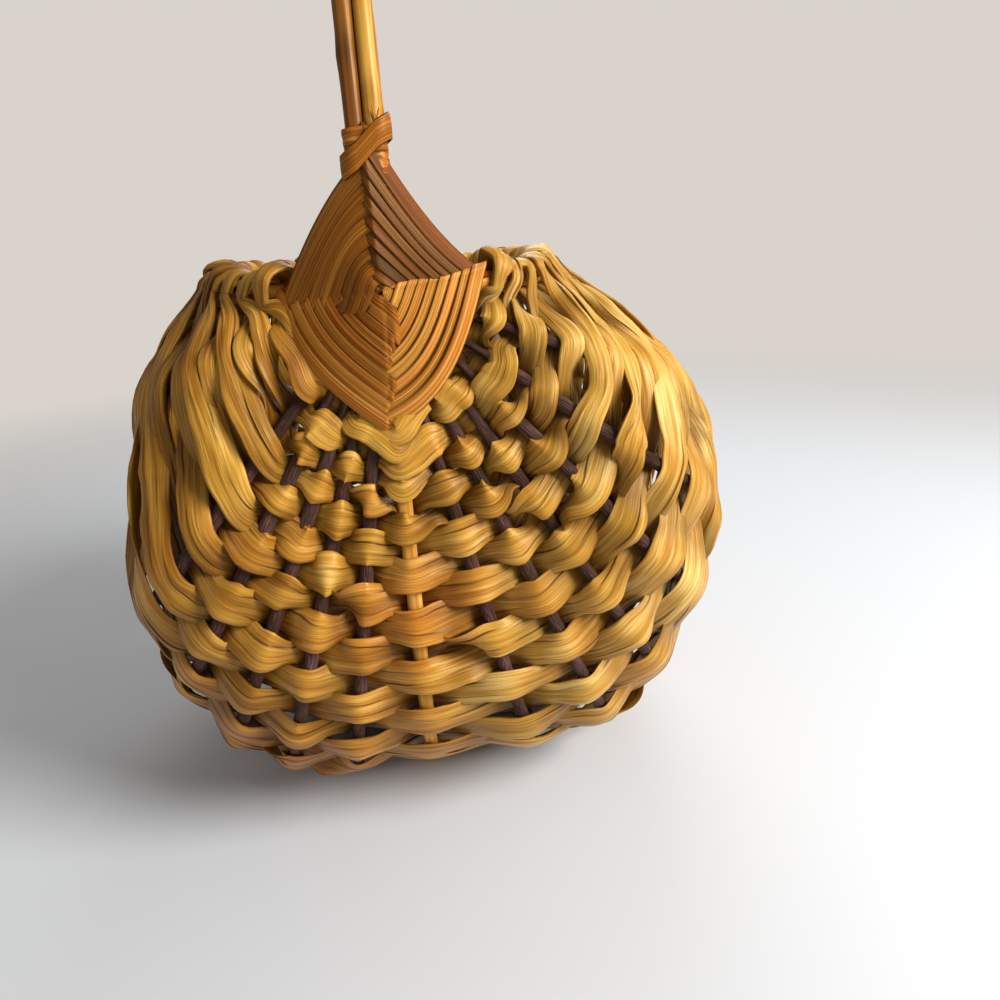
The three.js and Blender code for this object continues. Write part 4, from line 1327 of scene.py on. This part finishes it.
@dataclass
class LeafSection:
    """Cross-section of a folded leaf strip: flat, thin at its edges, with a fold line on each half.

    Attributes:
        rng: Seeded source of folds and creases.
        layer: Height of the steps at the fold lines in millimetres.
        edge_power: How abruptly the strip thins to its edges.
        flute: Height of the low waves across the strip.
        ragged: Unevenness of the edges, as a share of the half width.
        floor_gap: Least height over the floor.
        press: Height above that within which a strip is pressed flat.
    """

    rng: Rng
    layer: float = 0.54
    edge_power: float = 4.5
    flute: float = 0.11
    ragged: float = 0.05
    floor_gap: float = 0.3
    press: float = 0.9

    def sheets(self, stations: Stations, maker: MeshMaker) -> list[Sheet]:
        """The strips' skins.

        The station's face N, made square to the run's tangent T, and the width direction T x N are
        turned by the tilt. A point at a share s across is run + width direction s w/2 + N h, where h
        is half the thickness and a layer that steps at the fold lines, times the root of 1 - |s|^p,
        less the crown times the square of s. Points close to the floor are pressed up from it by an
        exponential of their height.

        Args:
            stations: Where the strips pass.
            maker: Maker whose origin gives the height of the floor.

        Returns:
            One skin to a strip.
        """
        rng = self.rng
        run = stations.curve()
        tangent = unit(np.gradient(run, axis=1))
        face = stations.eased(stations.face)
        face = unit(face - tangent * np.einsum("srk,srk->sr", face, tangent)[..., None])
        beside = np.cross(tangent, face)
        width, thick = stations.eased(stations.width), stations.eased(stations.thick)
        length = run_lengths(run)
        tilt = (stations.eased(stations.tilt) + np.radians(4.0) * ripple(length, rng, 17.0))[..., None]
        beside, face = (
            beside * np.cos(tilt) + face * np.sin(tilt),
            face * np.cos(tilt) - beside * np.sin(tilt),
        )
        edges = 1.0 + self.ragged * np.stack([ripple(length, rng, 12.0), ripple(length, rng, 12.0)])
        crown = (stations.eased(stations.crown) * width)[..., None]
        faces = []
        for heading in (1.0, -1.0):
            across, height, dark = self._surface(length, thick)
            half = 0.5 * width * np.where(across.mean(axis=-1) < 0, edges[0], edges[1])
            reach = (across * half[..., None])[..., None]
            offset = (heading * height - crown * across**2)[..., None]
            skin = run[:, :, None] + beside[:, :, None] * reach + face[:, :, None] * offset
            faces.append((skin, across, dark))
        points, across, dark = (
            np.concatenate([top, under[:, :, -2:0:-1]], axis=2) for top, under in zip(*faces)
        )
        floor = -maker.origin[2] / METRES
        height = points[..., 2] - floor
        soft = self.floor_gap + self.press
        pressed = self.floor_gap + self.press * np.exp(np.minimum(height - soft, 0.0) / self.press)
        points[..., 2] = floor + np.where(height < soft, pressed, height)
        return self._dressed(points, across, dark, length, stations)

    def _surface(self, length: Array, thick: Array) -> tuple[Array, Array, Array]:
        """One face of the strips.

        Args:
            length: Distances along the strips.
            thick: Thickness along the strips.

        Returns:
            Places across from -1 to 1, heights off the middle and how much painted shade darkens the folds
            and edges.
        """
        rng = self.rng
        first = np.clip(-0.42 + 0.3 * ripple(length, rng, 60.0), -0.72, -0.1)
        second = np.clip(0.42 + 0.3 * ripple(length, rng, 60.0), 0.1, 0.72)
        hug = np.array([-0.07, -0.016, 0.016, 0.07])
        edge = np.broadcast_to(np.array([-1.0, -0.965, -0.87]), length.shape + (3,))
        folds = first[..., None], second[..., None]
        across = np.concatenate(
            [edge, folds[0] + hug, 0.5 * (folds[0] + folds[1]), folds[1] + hug, -edge[..., ::-1]], axis=-1
        )
        layers = np.stack([0.5 + 0.5 * ripple(length, rng, 50.0) for _ in range(3)], axis=-1)
        rise = np.repeat(layers, across.shape[-1] // 3, axis=-1)
        steps = np.abs(np.diff(layers, axis=-1))
        # Painted shade: dark lines where the layers step at the fold lines and along both edges
        dark = np.zeros(across.shape)
        dark[..., 4:6], dark[..., 9:11] = steps[..., :1], steps[..., 1:]
        dark[..., [0, -1]] = 0.5
        flat = np.sqrt(np.maximum(1.0 - np.abs(across) ** self.edge_power, 0.0))
        wave = 1.4 * across + 0.7 * ripple(length, rng, 40.0)[..., None]
        flutes = self.flute * np.sin(FULL_TURN * wave)
        height = flat * (0.5 * thick[..., None] + self.layer * rise + flutes)
        return across, height, np.clip(1.25 * dark, 0.0, 0.78)

    def _dressed(
        self, points: Array, across: Array, dark: Array, length: Array, stations: Stations
    ) -> list[Sheet]:
        """Adds each strip's grain, tone, warmth and dark fold lines.

        The tone holds painted light and painted shade: the leaf is painted lighter towards the right, most of
        all at the top, and darker at the far left. The dark fold lines are painted shade, and so is the
        darkening where a strip passes behind others. The leaf is most orange on the keel half way down and at
        the foot of the left lobe.

        Args:
            points: Skins of all strips.
            across: Places across the strips.
            dark: How much painted shade darkens the folds and edges.
            length: Distances along the strips.
            stations: Stations of the strips.

        Returns:
            One sheet to a strip.
        """
        rng = self.rng
        seats = stations.eased(rng.uniform(0.0, 1.0, stations.width.shape))
        own = rng.uniform(-0.15, 0.15, (points.shape[0], 1))
        x, z = points[..., 0], points[..., 2]
        # Painted light towards the right and top right, painted shade at the far left
        painted_light_right = 0.22 * np.clip(x / 75.0, -1.0, 1.0)
        painted_light_top_right = 0.16 * smooth((z + 75.0) / 45.0) * smooth(x / 30.0)
        painted_shade_far_left = 0.14 * smooth(-(x + 15.0) / 45.0)
        tone = (0.32 + 0.4 * seats + own)[..., None] + painted_light_right + painted_light_top_right - painted_shade_far_left
        keel_patch = 0.42 * np.exp(-((x / 22.0) ** 2) - ((z + 94.0) / 15.0) ** 2)
        foot_patch = 0.3 * np.exp(-(((x + 45.0) / 40.0) ** 2) - ((z + 150.0) / 28.0) ** 2)
        warmth = (0.08 + 0.12 * ripple(length, rng, 55.0))[..., None] + (keel_patch + foot_patch)
        warmth = np.clip(warmth, 0.0, 1.0)
        # Painted shade at the folds and edges, and where the strip passes behind a rib or a neighbour
        dark = np.clip(dark + 0.75 * stations.eased(stations.painted_under_shade)[..., None], 0.0, 0.85)
        sheets = []
        for strip in range(points.shape[0]):
            shift = rng.uniform(0.0, GRAIN_SHIFT, 2)
            grain = np.concatenate([across[strip], across[strip][:, :1]], axis=1) * 4.5 + shift[1]
            values = {"tone": tone[strip], "warmth": warmth[strip], "crease": dark[strip]}
            sheets.append(Sheet(points[strip], length[strip][:, None] + shift[0], grain, values))
        return sheets


# God's eyes


class Arm(Enum):
    """The four arms of the crossed hoops, as directions in the plane of the eye."""

    LEFT = (-1.0, 0.0)
    UP = (0.0, 1.0)
    RIGHT = (1.0, 0.0)
    DOWN = (0.0, -1.0)


@dataclass(frozen=True)
class Facet:
    """One of the eye's four facets, wound from an arm to the next.

    Attributes:
        start: Arm at which the splints start.
        end: Arm at which they end.
        hub_bow: How far the innermost splint bows outward, as a share of its length.
        rim_bow: The same for the outermost one.
        warmth: How orange its splints are.
        tone: How light they are, from 0 to 1; set facet by facet, partly as painted light and painted shade.
        shade: How far the painted shade colour darkens the whole facet, as painted shade.
        swell: How far the outermost splint stands out between the arms.
        reach: How far out they cross the first arm, as a share of the other facets'.
        overruns: Least and greatest distance that a start lies straight over the facet before it.
        tuck: How fast it goes down there, in thicknesses of the splint a millimetre.
    """

    start: Arm
    end: Arm
    hub_bow: float
    rim_bow: float
    warmth: float
    tone: float
    shade: float = 0.0
    swell: float = 0.0
    reach: float = 1.0
    overruns: tuple[float, float] = (0.0, 0.0)
    tuck: float = 0.0


@dataclass
class CaneEye:
    """One God's eye: a splint wound from arm to arm, outward from the crossing.

    Attributes:
        shape: Sizes of the body.
        far: Whether it is the eye at the far end, which mirrors the near one.
        rounds: How many times the splint goes round.
        splint: Thickness of the splint.
        overlap: Width of the splint as a share of the rounds' spacing.
        collar_turns: Turns of splint round the handle above the eye.
        collar_width: Width of the splint there.
        binding: Height at the handle's middle, rise to the side and width of the broad last turn.
        top_run: Height at which the outermost round crosses the handle.
        top_spread: Power by which the rounds stand further apart up the handle.
        buried_start: Length of a run that starts on the handle and dives under the next round.
        foot: Place across and height of the foot of the outermost round, pulled a little askew.
        corner_rises: How far its left and right corners stand above the crossing.
        bow_peak: Factor of the cubic that bows a run.
        wrap_angle: Angle by which a run goes round an arm's side, in radians.
        middle_swell: How far a run's middle stands out between the arms.
        lie: How far a run lies off its arms in thicknesses of the splint: at its end along its outer
            edge, how much more at its start, and how much more along its inner edge.
        facets: The four facets, in the order in which they are wound.
    """

    shape: BodyShape
    far: bool
    rounds: int = 9
    splint: float = 0.42
    overlap: float = 1.45
    collar_turns: int = 3
    collar_width: float = 2.1
    binding: tuple[float, float, float] = (34.0, 4.6, 6.2)
    top_run: float = 32.6
    top_spread: float = 1.2
    buried_start: float = 4.6
    foot: tuple[float, float] = (-3.2, -35.4)
    corner_rises: tuple[float, float] = (-0.8, 2.4)
    bow_peak: float = 2.6
    wrap_angle: float = 0.9
    middle_swell: float = 0.45
    lie: tuple[float, float, float] = (0.7, 1.1, 1.1)
    # The facets' tones and shade shares are partly painted light and painted shade, set facet by facet
    facets: tuple[Facet, ...] = (
        Facet(Arm.LEFT, Arm.UP, 0.2, 0.035, 0.1, 0.2, 0.1, overruns=(3.2, 3.6), tuck=0.38),
        Facet(Arm.UP, Arm.RIGHT, 0.02, -0.06, 0.3, 0.1, 0.52, reach=1.15),
        Facet(Arm.RIGHT, Arm.DOWN, 0.05, 0.13, 0.05, 0.8, swell=3.0),
        Facet(Arm.DOWN, Arm.LEFT, 0.05, 0.09, 0.12, 0.38, swell=2.4, overruns=(0.2, 3.2)),
    )

    def _upright_front(self, height: Array) -> Array:
        """Distance from the middle of the front of the upright arms, at heights from the crossing."""
        shape = self.shape
        depth_share = np.maximum(-height, 0.0) / abs(shape.section(0.0)[1])
        rise_share = np.maximum(height, 0.0) / shape.handle_rise
        down = np.arcsin(depth_share ** (shape.rim_exponent / 2.0))
        up = np.arcsin(rise_share ** (shape.handle_exponent / 2.0))
        reach = np.where(height < 0, shape.keel_reach(down), -shape.arch(up, 1.0)[..., 1])
        return reach + shape.handle_radius + shape.fit_gap

    def _side_front(self, across: Array) -> Array:
        """Distance from the middle of the front of the side arms, which step back to the rim hoop."""
        shape = self.shape
        share = np.minimum(np.abs(across) / shape.rim_half_width, 1.0)
        turn = np.arcsin(share ** (shape.rim_exponent / 2.0))
        rim = shape.end_reach(turn, shape.rim_angle(1.0)) + shape.rim_radius + shape.fit_gap
        return mix(self._upright_front(np.zeros(1))[0], rim, smooth(np.abs(across) / shape.eye_hub_blend))

    def _arm_point(self, arm: Arm, share: Array) -> Array:
        """Points on the front of an arm at shares of the eye's size."""
        x = arm.value[0]
        if arm is Arm.UP:
            height = self.top_run * share**self.top_spread
            return np.stack([0.0 * share, -self._upright_front(height), height], axis=-1)
        if arm is Arm.DOWN:
            height = self.foot[1] * share
            return np.stack([self.foot[0] * share**2, -self._upright_front(height), height], axis=-1)
        across = share * x * self.shape.eye_half_width
        rise = self.corner_rises[0 if x < 0 else 1] * share**2
        return np.stack([across, -self._side_front(across), rise], axis=-1)

    def _arm_half(self, arm: Arm, share: float) -> float:
        """Half the width of an arm where a splint crosses it; the handle has two rods."""
        shape = self.shape
        if arm is Arm.UP:
            parted = smooth(np.array(share * self.top_run / shape.pair_blend))
            return shape.handle_radius + shape.fit_gap + shape.pair_offset * float(parted)
        return shape.fit_gap + (shape.handle_radius if arm is Arm.DOWN else shape.rim_radius)

    def _bend(self, half: float) -> float:
        """Radius on which a splint turns round the side of an arm."""
        return 0.9 * min(half, self.shape.rim_radius)

    def _beyond(self, distance: Array, heading: Array, half: float) -> Array:
        """Steps from the middle of an arm to past it: over its front, then back round its side on a circle.

        Args:
            distance: Distances past the arm's middle, shape (steps, 1).
            heading: Direction of the splint there.
            half: Half the width of the arm.

        Returns:
            The steps.
        """
        bend = self._bend(half)
        straight = np.minimum(distance, half - bend)[..., None]
        turn = np.maximum(distance - (half - bend), 0.0)[..., None] / bend
        level = unit(heading * np.array([1.0, 0.0, 1.0]))
        return level * (straight + bend * np.sin(turn)) + Y_AXIS * bend * (1.0 - np.cos(turn))

    def _band(self, turn: int, rng: Rng) -> Sheet:
        """One run of the splint from an arm to the next.

        Its middle runs from arm to arm at a share of the eye's size that grows by a quarter round,
        bowed by a share of its length times a factor times s - s s s, most past the middle. Each end
        goes over its arm and back round the side, and sinks there under the runs that are wound later.
        A run lies over the last one at its start, a little past the arm, and over the round inside it
        along its inner edge, so that the facets interlock at their seams like a herringbone.

        Args:
            turn: Number of quarter rounds wound before it.
            rng: Seeded source of its unevenness.

        Returns:
            The run's skin.
        """
        facet = self.facets[turn % 4]
        spacing = 1.0 / (self.rounds + 0.1)
        start = (turn / 4.0 + 0.3) * spacing
        half = 0.5 * self.overlap * spacing * (1.0 + 0.07 * rng.standard_normal())
        across = np.linspace(-1.0, 1.0, 9)[None]
        halves = [self._arm_half(facet.start, start), self._arm_half(facet.end, start)]
        held = rng.uniform(*facet.overruns) * (turn < 4 * (self.rounds - 2))
        halves[0] += held
        reaches = [width + self._bend(width) * self.wrap_angle for width in halves]
        if facet.start is Arm.UP:
            reaches[0] = self.buried_start if turn < 4 * (self.rounds - 1) else 0.5
        ends, middles = 13, 18
        rest = np.zeros(middles + ends - 2)
        inside = np.concatenate([np.zeros(ends - 1), np.linspace(0.0, 1.0, middles), np.ones(ends - 1)])
        inside = inside[:, None]
        before = np.concatenate([np.linspace(reaches[0], 0.0, ends), rest])[:, None]
        after = np.concatenate([rest, np.linspace(0.0, reaches[1], ends)])[:, None]
        size = np.maximum(start + inside * spacing / 4.0 + across * half, 0.004)
        first, second = self._arm_point(facet.start, size * facet.reach), self._arm_point(facet.end, size)
        chord = second - first
        square = np.stack([-chord[..., 2], 0.0 * chord[..., 1], chord[..., 0]], axis=-1)
        grown = min(start, 1.0)
        bow = self.bow_peak * mix(facet.hub_bow, facet.rim_bow, grown)
        points = first + chord * inside[..., None] + square * (bow * (inside - inside**3))[..., None]
        leaving, arriving = -chord - bow * square, chord - 2.0 * bow * square
        points = points + self._beyond(before, leaving, halves[0]) * (before > 0)[..., None]
        points = points + self._beyond(after, arriving, halves[1]) * (after > 0)[..., None]
        swell = (self.middle_swell + facet.swell * grown**3) * np.sin(np.pi * inside)
        covered = (self.middle_swell + self.facets[turn % 4 - 1].swell * grown**3) * (held > 0.0)
        passed = before / np.linalg.norm(chord[0, 4])
        swell = swell + covered * np.sin(np.pi * np.minimum(passed, 0.5))
        sunk = self._sunk(facet, (before, after), halves, reaches, held)
        base, at_start, at_inner = self.lie
        lift = self.splint * (base + at_start * (1.0 - inside) + at_inner * (1.0 - across) - sunk) + swell
        crown = 0.14 * (1.0 - across**2)
        outer = points - Y_AXIS * (lift + crown)[..., None]
        inner = points - Y_AXIS * (lift - self.splint)[..., None]
        skin = np.concatenate([outer, inner[:, ::-1]], axis=1)
        columns = np.concatenate([across, across[:, ::-1]], axis=1)[0]
        along = run_lengths(points[:, 4])[:, None] + rng.uniform(0.0, GRAIN_SHIFT)
        grain = np.append(columns, columns[0]) * 2.2 + rng.uniform(0.0, GRAIN_SHIFT)
        tone = facet.tone + 0.22 * rng.uniform(-1.0, 1.0)
        warmth = np.clip(facet.warmth + 0.3 * rng.uniform(-1.0, 1.0), 0.0, 1.0)
        # Painted shade along both edges of the splint, and over the whole facet by its shade share
        crease = np.maximum(0.6 * (np.abs(columns) > 0.9), facet.shade)
        return Sheet(skin, along, grain, {"tone": tone, "warmth": warmth, "crease": crease})

    def _sunk(
        self, facet: Facet, past: tuple[Array, Array], halves: list[float], reaches: list[float], held: float
    ) -> Array:
        """How far a run sinks past its arms, in thicknesses of the splint.

        On the handle, the ends dive quickly under the runs that cross them. On the other arms a run's
        end sinks evenly with the distance. Its start comes down on the end of the run before, and
        where it is tucked in, it goes on down, so that the next round covers its outer corner.

        Args:
            facet: The facet that the run is part of.
            past: Distances past the first arm and past the second.
            halves: Half the widths of both arms.
            reaches: How far the run goes on past the middles of both arms.
            held: How far its start lies over the facet before it.

        Returns:
            The depths, in the shape of the distances.
        """
        before, after = past
        if facet.start is Arm.UP:
            start = 3.0 * smooth(before / reaches[0])
        else:
            down = (0.95 * smooth(before) + facet.tuck * np.minimum(before, held)) * (held > 0.0)
            start = down + (2.6 - down) * smooth((before - 0.6 - held) / (reaches[0] - 0.6 - held))
        if facet.end is Arm.UP:
            end = 3.6 * smooth(after / (0.6 * halves[1]))
        else:
            end = 2.4 * np.minimum(after / halves[1], 1.0)
        return start + end

    def _sleeve(self, centres: Array, axis: Array, wide: Array, rng: Rng) -> Sheet:
        """Turns of splint round an arm's back: a flattened tube whose skin steps like a saw every turn.

        Args:
            centres: Centre line of the arm.
            axis: Direction square to the plane in which it bends.
            wide: Half the spacing of the rods inside, at each centre.
            rng: Seeded source of its tone.

        Returns:
            The sleeve's skin.
        """
        sides = 28
        distance = run_lengths(centres)[:, None]
        turn = ring_angles(sides)[None]
        saw = np.mod(distance / 3.1 + turn / FULL_TURN, 1.0)
        radius = self.shape.rim_radius + 0.3 + 0.35 * saw
        outward = unit(np.cross(unit(np.gradient(centres, axis=0)), axis))
        spread = radius * np.cos(turn) + wide[:, None] * np.sign(np.cos(turn))
        points = centres[:, None] + axis * spread[..., None]
        points = points + outward[:, None] * (radius * np.sin(turn))[..., None] + Y_AXIS * 0.9
        tone = 0.45 + 0.25 * ripple(distance[:, 0], rng, 9.0)[:, None]
        # Painted shade in the step at the end of each turn
        values = {"tone": tone, "warmth": 0.4, "crease": 0.8 * (saw > 0.9)}
        return Sheet(points, np.linspace(0.0, 18.0, sides + 1), distance, values)

    def _collar(self, height: float, rise: float, wide: float, stand: float, rng: Rng) -> Sheet:
        """One flat turn of splint round both rods of the handle.

        Its middle is a ring at the rods' own distance plus the splint, and its height grows evenly
        across the handle, so that it slants up to the right.

        Args:
            height: Height at the handle's middle.
            rise: How much higher it is at the right side, and lower at the left.
            wide: Width of the splint.
            stand: How far it stands off the rods, on the turns below it.
            rng: Seeded source of its tone.

        Returns:
            The turn's skin.
        """
        shape = self.shape
        arch = shape.arch(np.array([shape.arch_turn(height)]), 1.0)[0]
        sides = 48
        turn = ring_angles(sides)
        out = np.outer(np.cos(turn), X_AXIS) + np.outer(np.sin(turn), Y_AXIS)
        radius = shape.handle_radius + shape.fit_gap
        centres = out * radius + X_AXIS * (np.sign(np.cos(turn)) * shape.pair_offset)[:, None]
        slant = rise * centres[:, 0] / (radius + shape.pair_offset)
        centres = centres + Y_AXIS * arch[1] + Z_AXIS * (height + slant)[:, None]
        half = 0.5 * wide
        section = np.array([(0.0, -half), (0.4, -0.9 * half), (0.5, 0.0), (0.4, 0.9 * half), (0.0, half)])
        depth = section[:, 0] + stand
        points = centres[:, None] + out[:, None] * depth[None, :, None] + Z_AXIS * section[None, :, 1, None]
        along = np.linspace(0.0, 24.0, sides + 1)[:, None] + rng.uniform(0.0, GRAIN_SHIFT)
        across = np.linspace(-half, 1.5 * half, len(section) + 1)
        # Painted shade along both edges of the turn
        crease = np.array([0.9, 0.1, 0.0, 0.1, 0.9])
        values = {"tone": 0.5 + 0.2 * rng.uniform(-1.0, 1.0), "warmth": 0.15, "crease": crease}
        return Sheet(points, along, across, values, loop=True)

    def build(self, maker: MeshMaker, cane: Material) -> None:
        """Makes the eye in place of its CAD node."""
        shape = self.shape
        rng = np.random.default_rng(77 if self.far else 76)
        sheets = [self._band(turn, rng) for turn in range(4 * self.rounds)]
        for place in range(self.collar_turns):
            height = self.binding[0] - 0.4 + 0.96 * self.collar_width * place
            sheets.append(self._collar(height, 0.4, self.collar_width, 0.1 + 0.12 * place, rng))
        sheets.append(self._collar(*self.binding, 1.5, rng))
        quarter = np.linspace(0.0, shape.side_corner_turn, 40)
        rim = np.concatenate([shape.rim(quarter, -1.0)[::-1], shape.rim(quarter[1:], 1.0)])
        down = shape.keel(np.linspace(shape.foot_turn, 0.0, 50))
        up = shape.arch(np.linspace(0.0, shape.arch_turn(self.top_run + 2.0), 60)[1:], 1.0)
        wide = np.concatenate([np.zeros(len(down)), up[:, 0]])
        up[:, 0] = 0.0
        upright = np.concatenate([down, up])
        sheets.append(self._sleeve(rim, Z_AXIS, np.zeros(len(rim)), rng))
        sheets.append(self._sleeve(upright, X_AXIS, wide, rng))
        if self.far:
            for sheet in sheets:
                sheet.points = sheet.points * np.array([1.0, -1.0, 1.0])
        end = "far" if self.far else "near"
        maker.piece(f"cane_eye_{end}", sheets, cane, f"gods_eye_{end}")
        log.info("eye: %s, %d rounds", end, self.rounds)


# Stage


def placed(right: Array, up: Array, back: Array, place: Array) -> Matrix:
    """The placing of a camera or lamp, whose columns are its three axes and its place."""
    columns = np.eye(4)
    columns[:3] = np.stack([right, up, back, place], axis=1)
    return Matrix(columns.tolist())


@dataclass
class Studio:
    """Pale floor, soft lights and the camera at the photograph's angle.

    Attributes:
        origin: Place of the basket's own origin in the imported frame, in metres.
        azimuth: Camera's bearing round the basket in degrees, to the right of its near end.
        pitch: Camera's tilt below the horizon in degrees.
        height: Camera's height over the rim plane in millimetres.
        distance: Camera's distance from the basket's axis in millimetres.
        heading: Turn of the view to the left in radians.
        roll: Turn of the picture against the clock in degrees.
        lens: Focal length in millimetres on a 36 mm sensor.
        backdrop: Colour of the world and of the floor far away.
    """

    origin: Array
    azimuth: float = 1.2
    pitch: float = 19.77
    height: float = 10.6
    distance: float = 283.9
    heading: float = -0.1095
    roll: float = 3.5
    lens: float = 25.99
    backdrop: str = "#D9D3CC"

    def build(self) -> None:
        """Makes the floor, lights, world and camera."""
        self._floor()
        self._lights()
        self._camera()
        bpy.context.scene.view_settings.view_transform = "Standard"
        log.info("studio: floor, three lights and the camera")

    def _camera(self) -> None:
        """Sets the camera from the angles that fit the photograph."""
        bearing, tilt, roll = (math.radians(angle) for angle in (self.azimuth, self.pitch, self.roll))
        place = np.array([self.distance * math.sin(bearing), -self.distance * math.cos(bearing), self.height])
        level = np.array([math.cos(self.heading), math.sin(self.heading), 0.0])
        ahead = np.array([-math.sin(self.heading), math.cos(self.heading), 0.0])
        forward = ahead * math.cos(tilt) - Z_AXIS * math.sin(tilt)
        above = ahead * math.sin(tilt) + Z_AXIS * math.cos(tilt)
        right = level * math.cos(roll) - above * math.sin(roll)
        up = level * math.sin(roll) + above * math.cos(roll)
        lens = bpy.data.cameras.new("photo_camera")
        lens.lens = self.lens
        lens.sensor_width = 36.0
        lens.clip_start = 0.01
        camera = bpy.data.objects.new("photo_camera", lens)
        camera.matrix_world = placed(right, up, -forward, place * METRES + self.origin)
        bpy.context.scene.collection.objects.link(camera)
        bpy.context.scene.camera = camera

    def _floor(self) -> None:
        """A pale disc whose far part fades to the world's own colour, so that no horizon shows."""
        turn = ring_angles(96)
        radii = np.array([0.0005, 0.6, 1.5, 3.0, 9.0])[:, None]
        points = np.stack([radii * np.cos(turn), radii * np.sin(turn), 0.0 * radii * turn], axis=-1)
        _, _, faces = Sheet(points, radii, turn).corners()
        mesh = bpy.data.meshes.new("studio_floor")
        mesh.from_pydata(points.reshape(-1, 3).tolist(), [], faces.tolist())
        made = bpy.data.materials.new("pale_studio_floor")
        tree = empty_tree(made)
        place = add_node(tree, "TexCoord", "Object")
        far = add_node(tree, "VectorMath", "Value", {0: place}, operation="LENGTH")
        inputs = {"Value": far, "From Min": 0.35, "From Max": 1.1}
        fade = add_node(tree, "MapRange", "Result", inputs, interpolation_type="SMOOTHSTEP")
        sight = add_node(tree, "LightPath", "Is Camera Ray")
        seen = add_node(tree, "Math", 0, {0: fade, 1: sight}, operation="MULTIPLY")
        matt = add_node(tree, "BsdfPrincipled", "BSDF", {"Base Color": linear("#DCDEE0"), "Roughness": 0.6})
        glow = add_node(tree, "Emission", 0, {"Color": linear(self.backdrop)})
        mixed = add_node(tree, "MixShader", 0, {0: seen, 1: matt, 2: glow})
        add_node(tree, "OutputMaterial", None, {"Surface": mixed})
        mesh.materials.append(made)
        floor = bpy.data.objects.new("studio_floor", mesh)
        bpy.context.scene.collection.objects.link(floor)

    def _lights(self) -> None:
        """A broad window-like light from the upper right, a weak one from the left and a soft world."""
        for name, place, aim, size, power in (
            ("window_light", (0.8, -0.55, 0.7), (0.0, 0.0, 0.12), 0.55, 18.0),
            ("fill_light", (-0.9, -0.7, 0.55), (0.0, 0.0, 0.12), 0.9, 0.8),
            ("back_light", (0.25, 0.9, 0.8), (0.0, 0.0, 0.15), 0.7, 4.0),
        ):
            lamp = bpy.data.lights.new(name, "AREA")
            lamp.shape = "DISK"
            lamp.size = size
            lamp.energy = power
            held = bpy.data.objects.new(name, lamp)
            back = unit(np.array(place) - np.array(aim))
            side = unit(np.cross(Z_AXIS, back))
            held.matrix_world = placed(side, np.cross(back, side), back, np.array(place))
            bpy.context.scene.collection.objects.link(held)
        world = bpy.data.worlds.new("studio_world")
        bpy.context.scene.world = world
        tree = empty_tree(world)
        sight = add_node(tree, "LightPath", "Is Camera Ray")
        lit = add_node(tree, "Background", 0, {"Color": linear("#F2F0EE"), "Strength": 0.28})
        seen = add_node(tree, "Background", 0, {"Color": linear(self.backdrop)})
        mixed = add_node(tree, "MixShader", 0, {0: sight, 1: lit, 2: seen})
        add_node(tree, "OutputWorld", None, {"Surface": mixed})


def main() -> None:
    """Builds the stage and every piece of the basket in order."""
    logging.basicConfig(level=logging.INFO, format="%(name)s: %(message)s")
    low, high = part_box("rim_hoop")
    origin = (np.array(low) + np.array(high)) / 2.0
    shape = BodyShape()
    lines = BasketFrame(shape)
    maker = MeshMaker(origin)
    Studio(origin).build()
    leaf, cane, golden, dark, bark = (
        finish.build() for finish in (LEAF, CANE, GOLDEN_ROD, DARK_ROD, BARK)
    )
    Rods(lines).build(maker, golden, dark)
    Ribs(lines).build(maker, bark)
    LeafWeave(lines).build(maker, leaf)
    CaneEye(shape, far=False).build(maker, cane)
    CaneEye(shape, far=True).build(maker, cane)


if __name__ == "__main__":
    main()
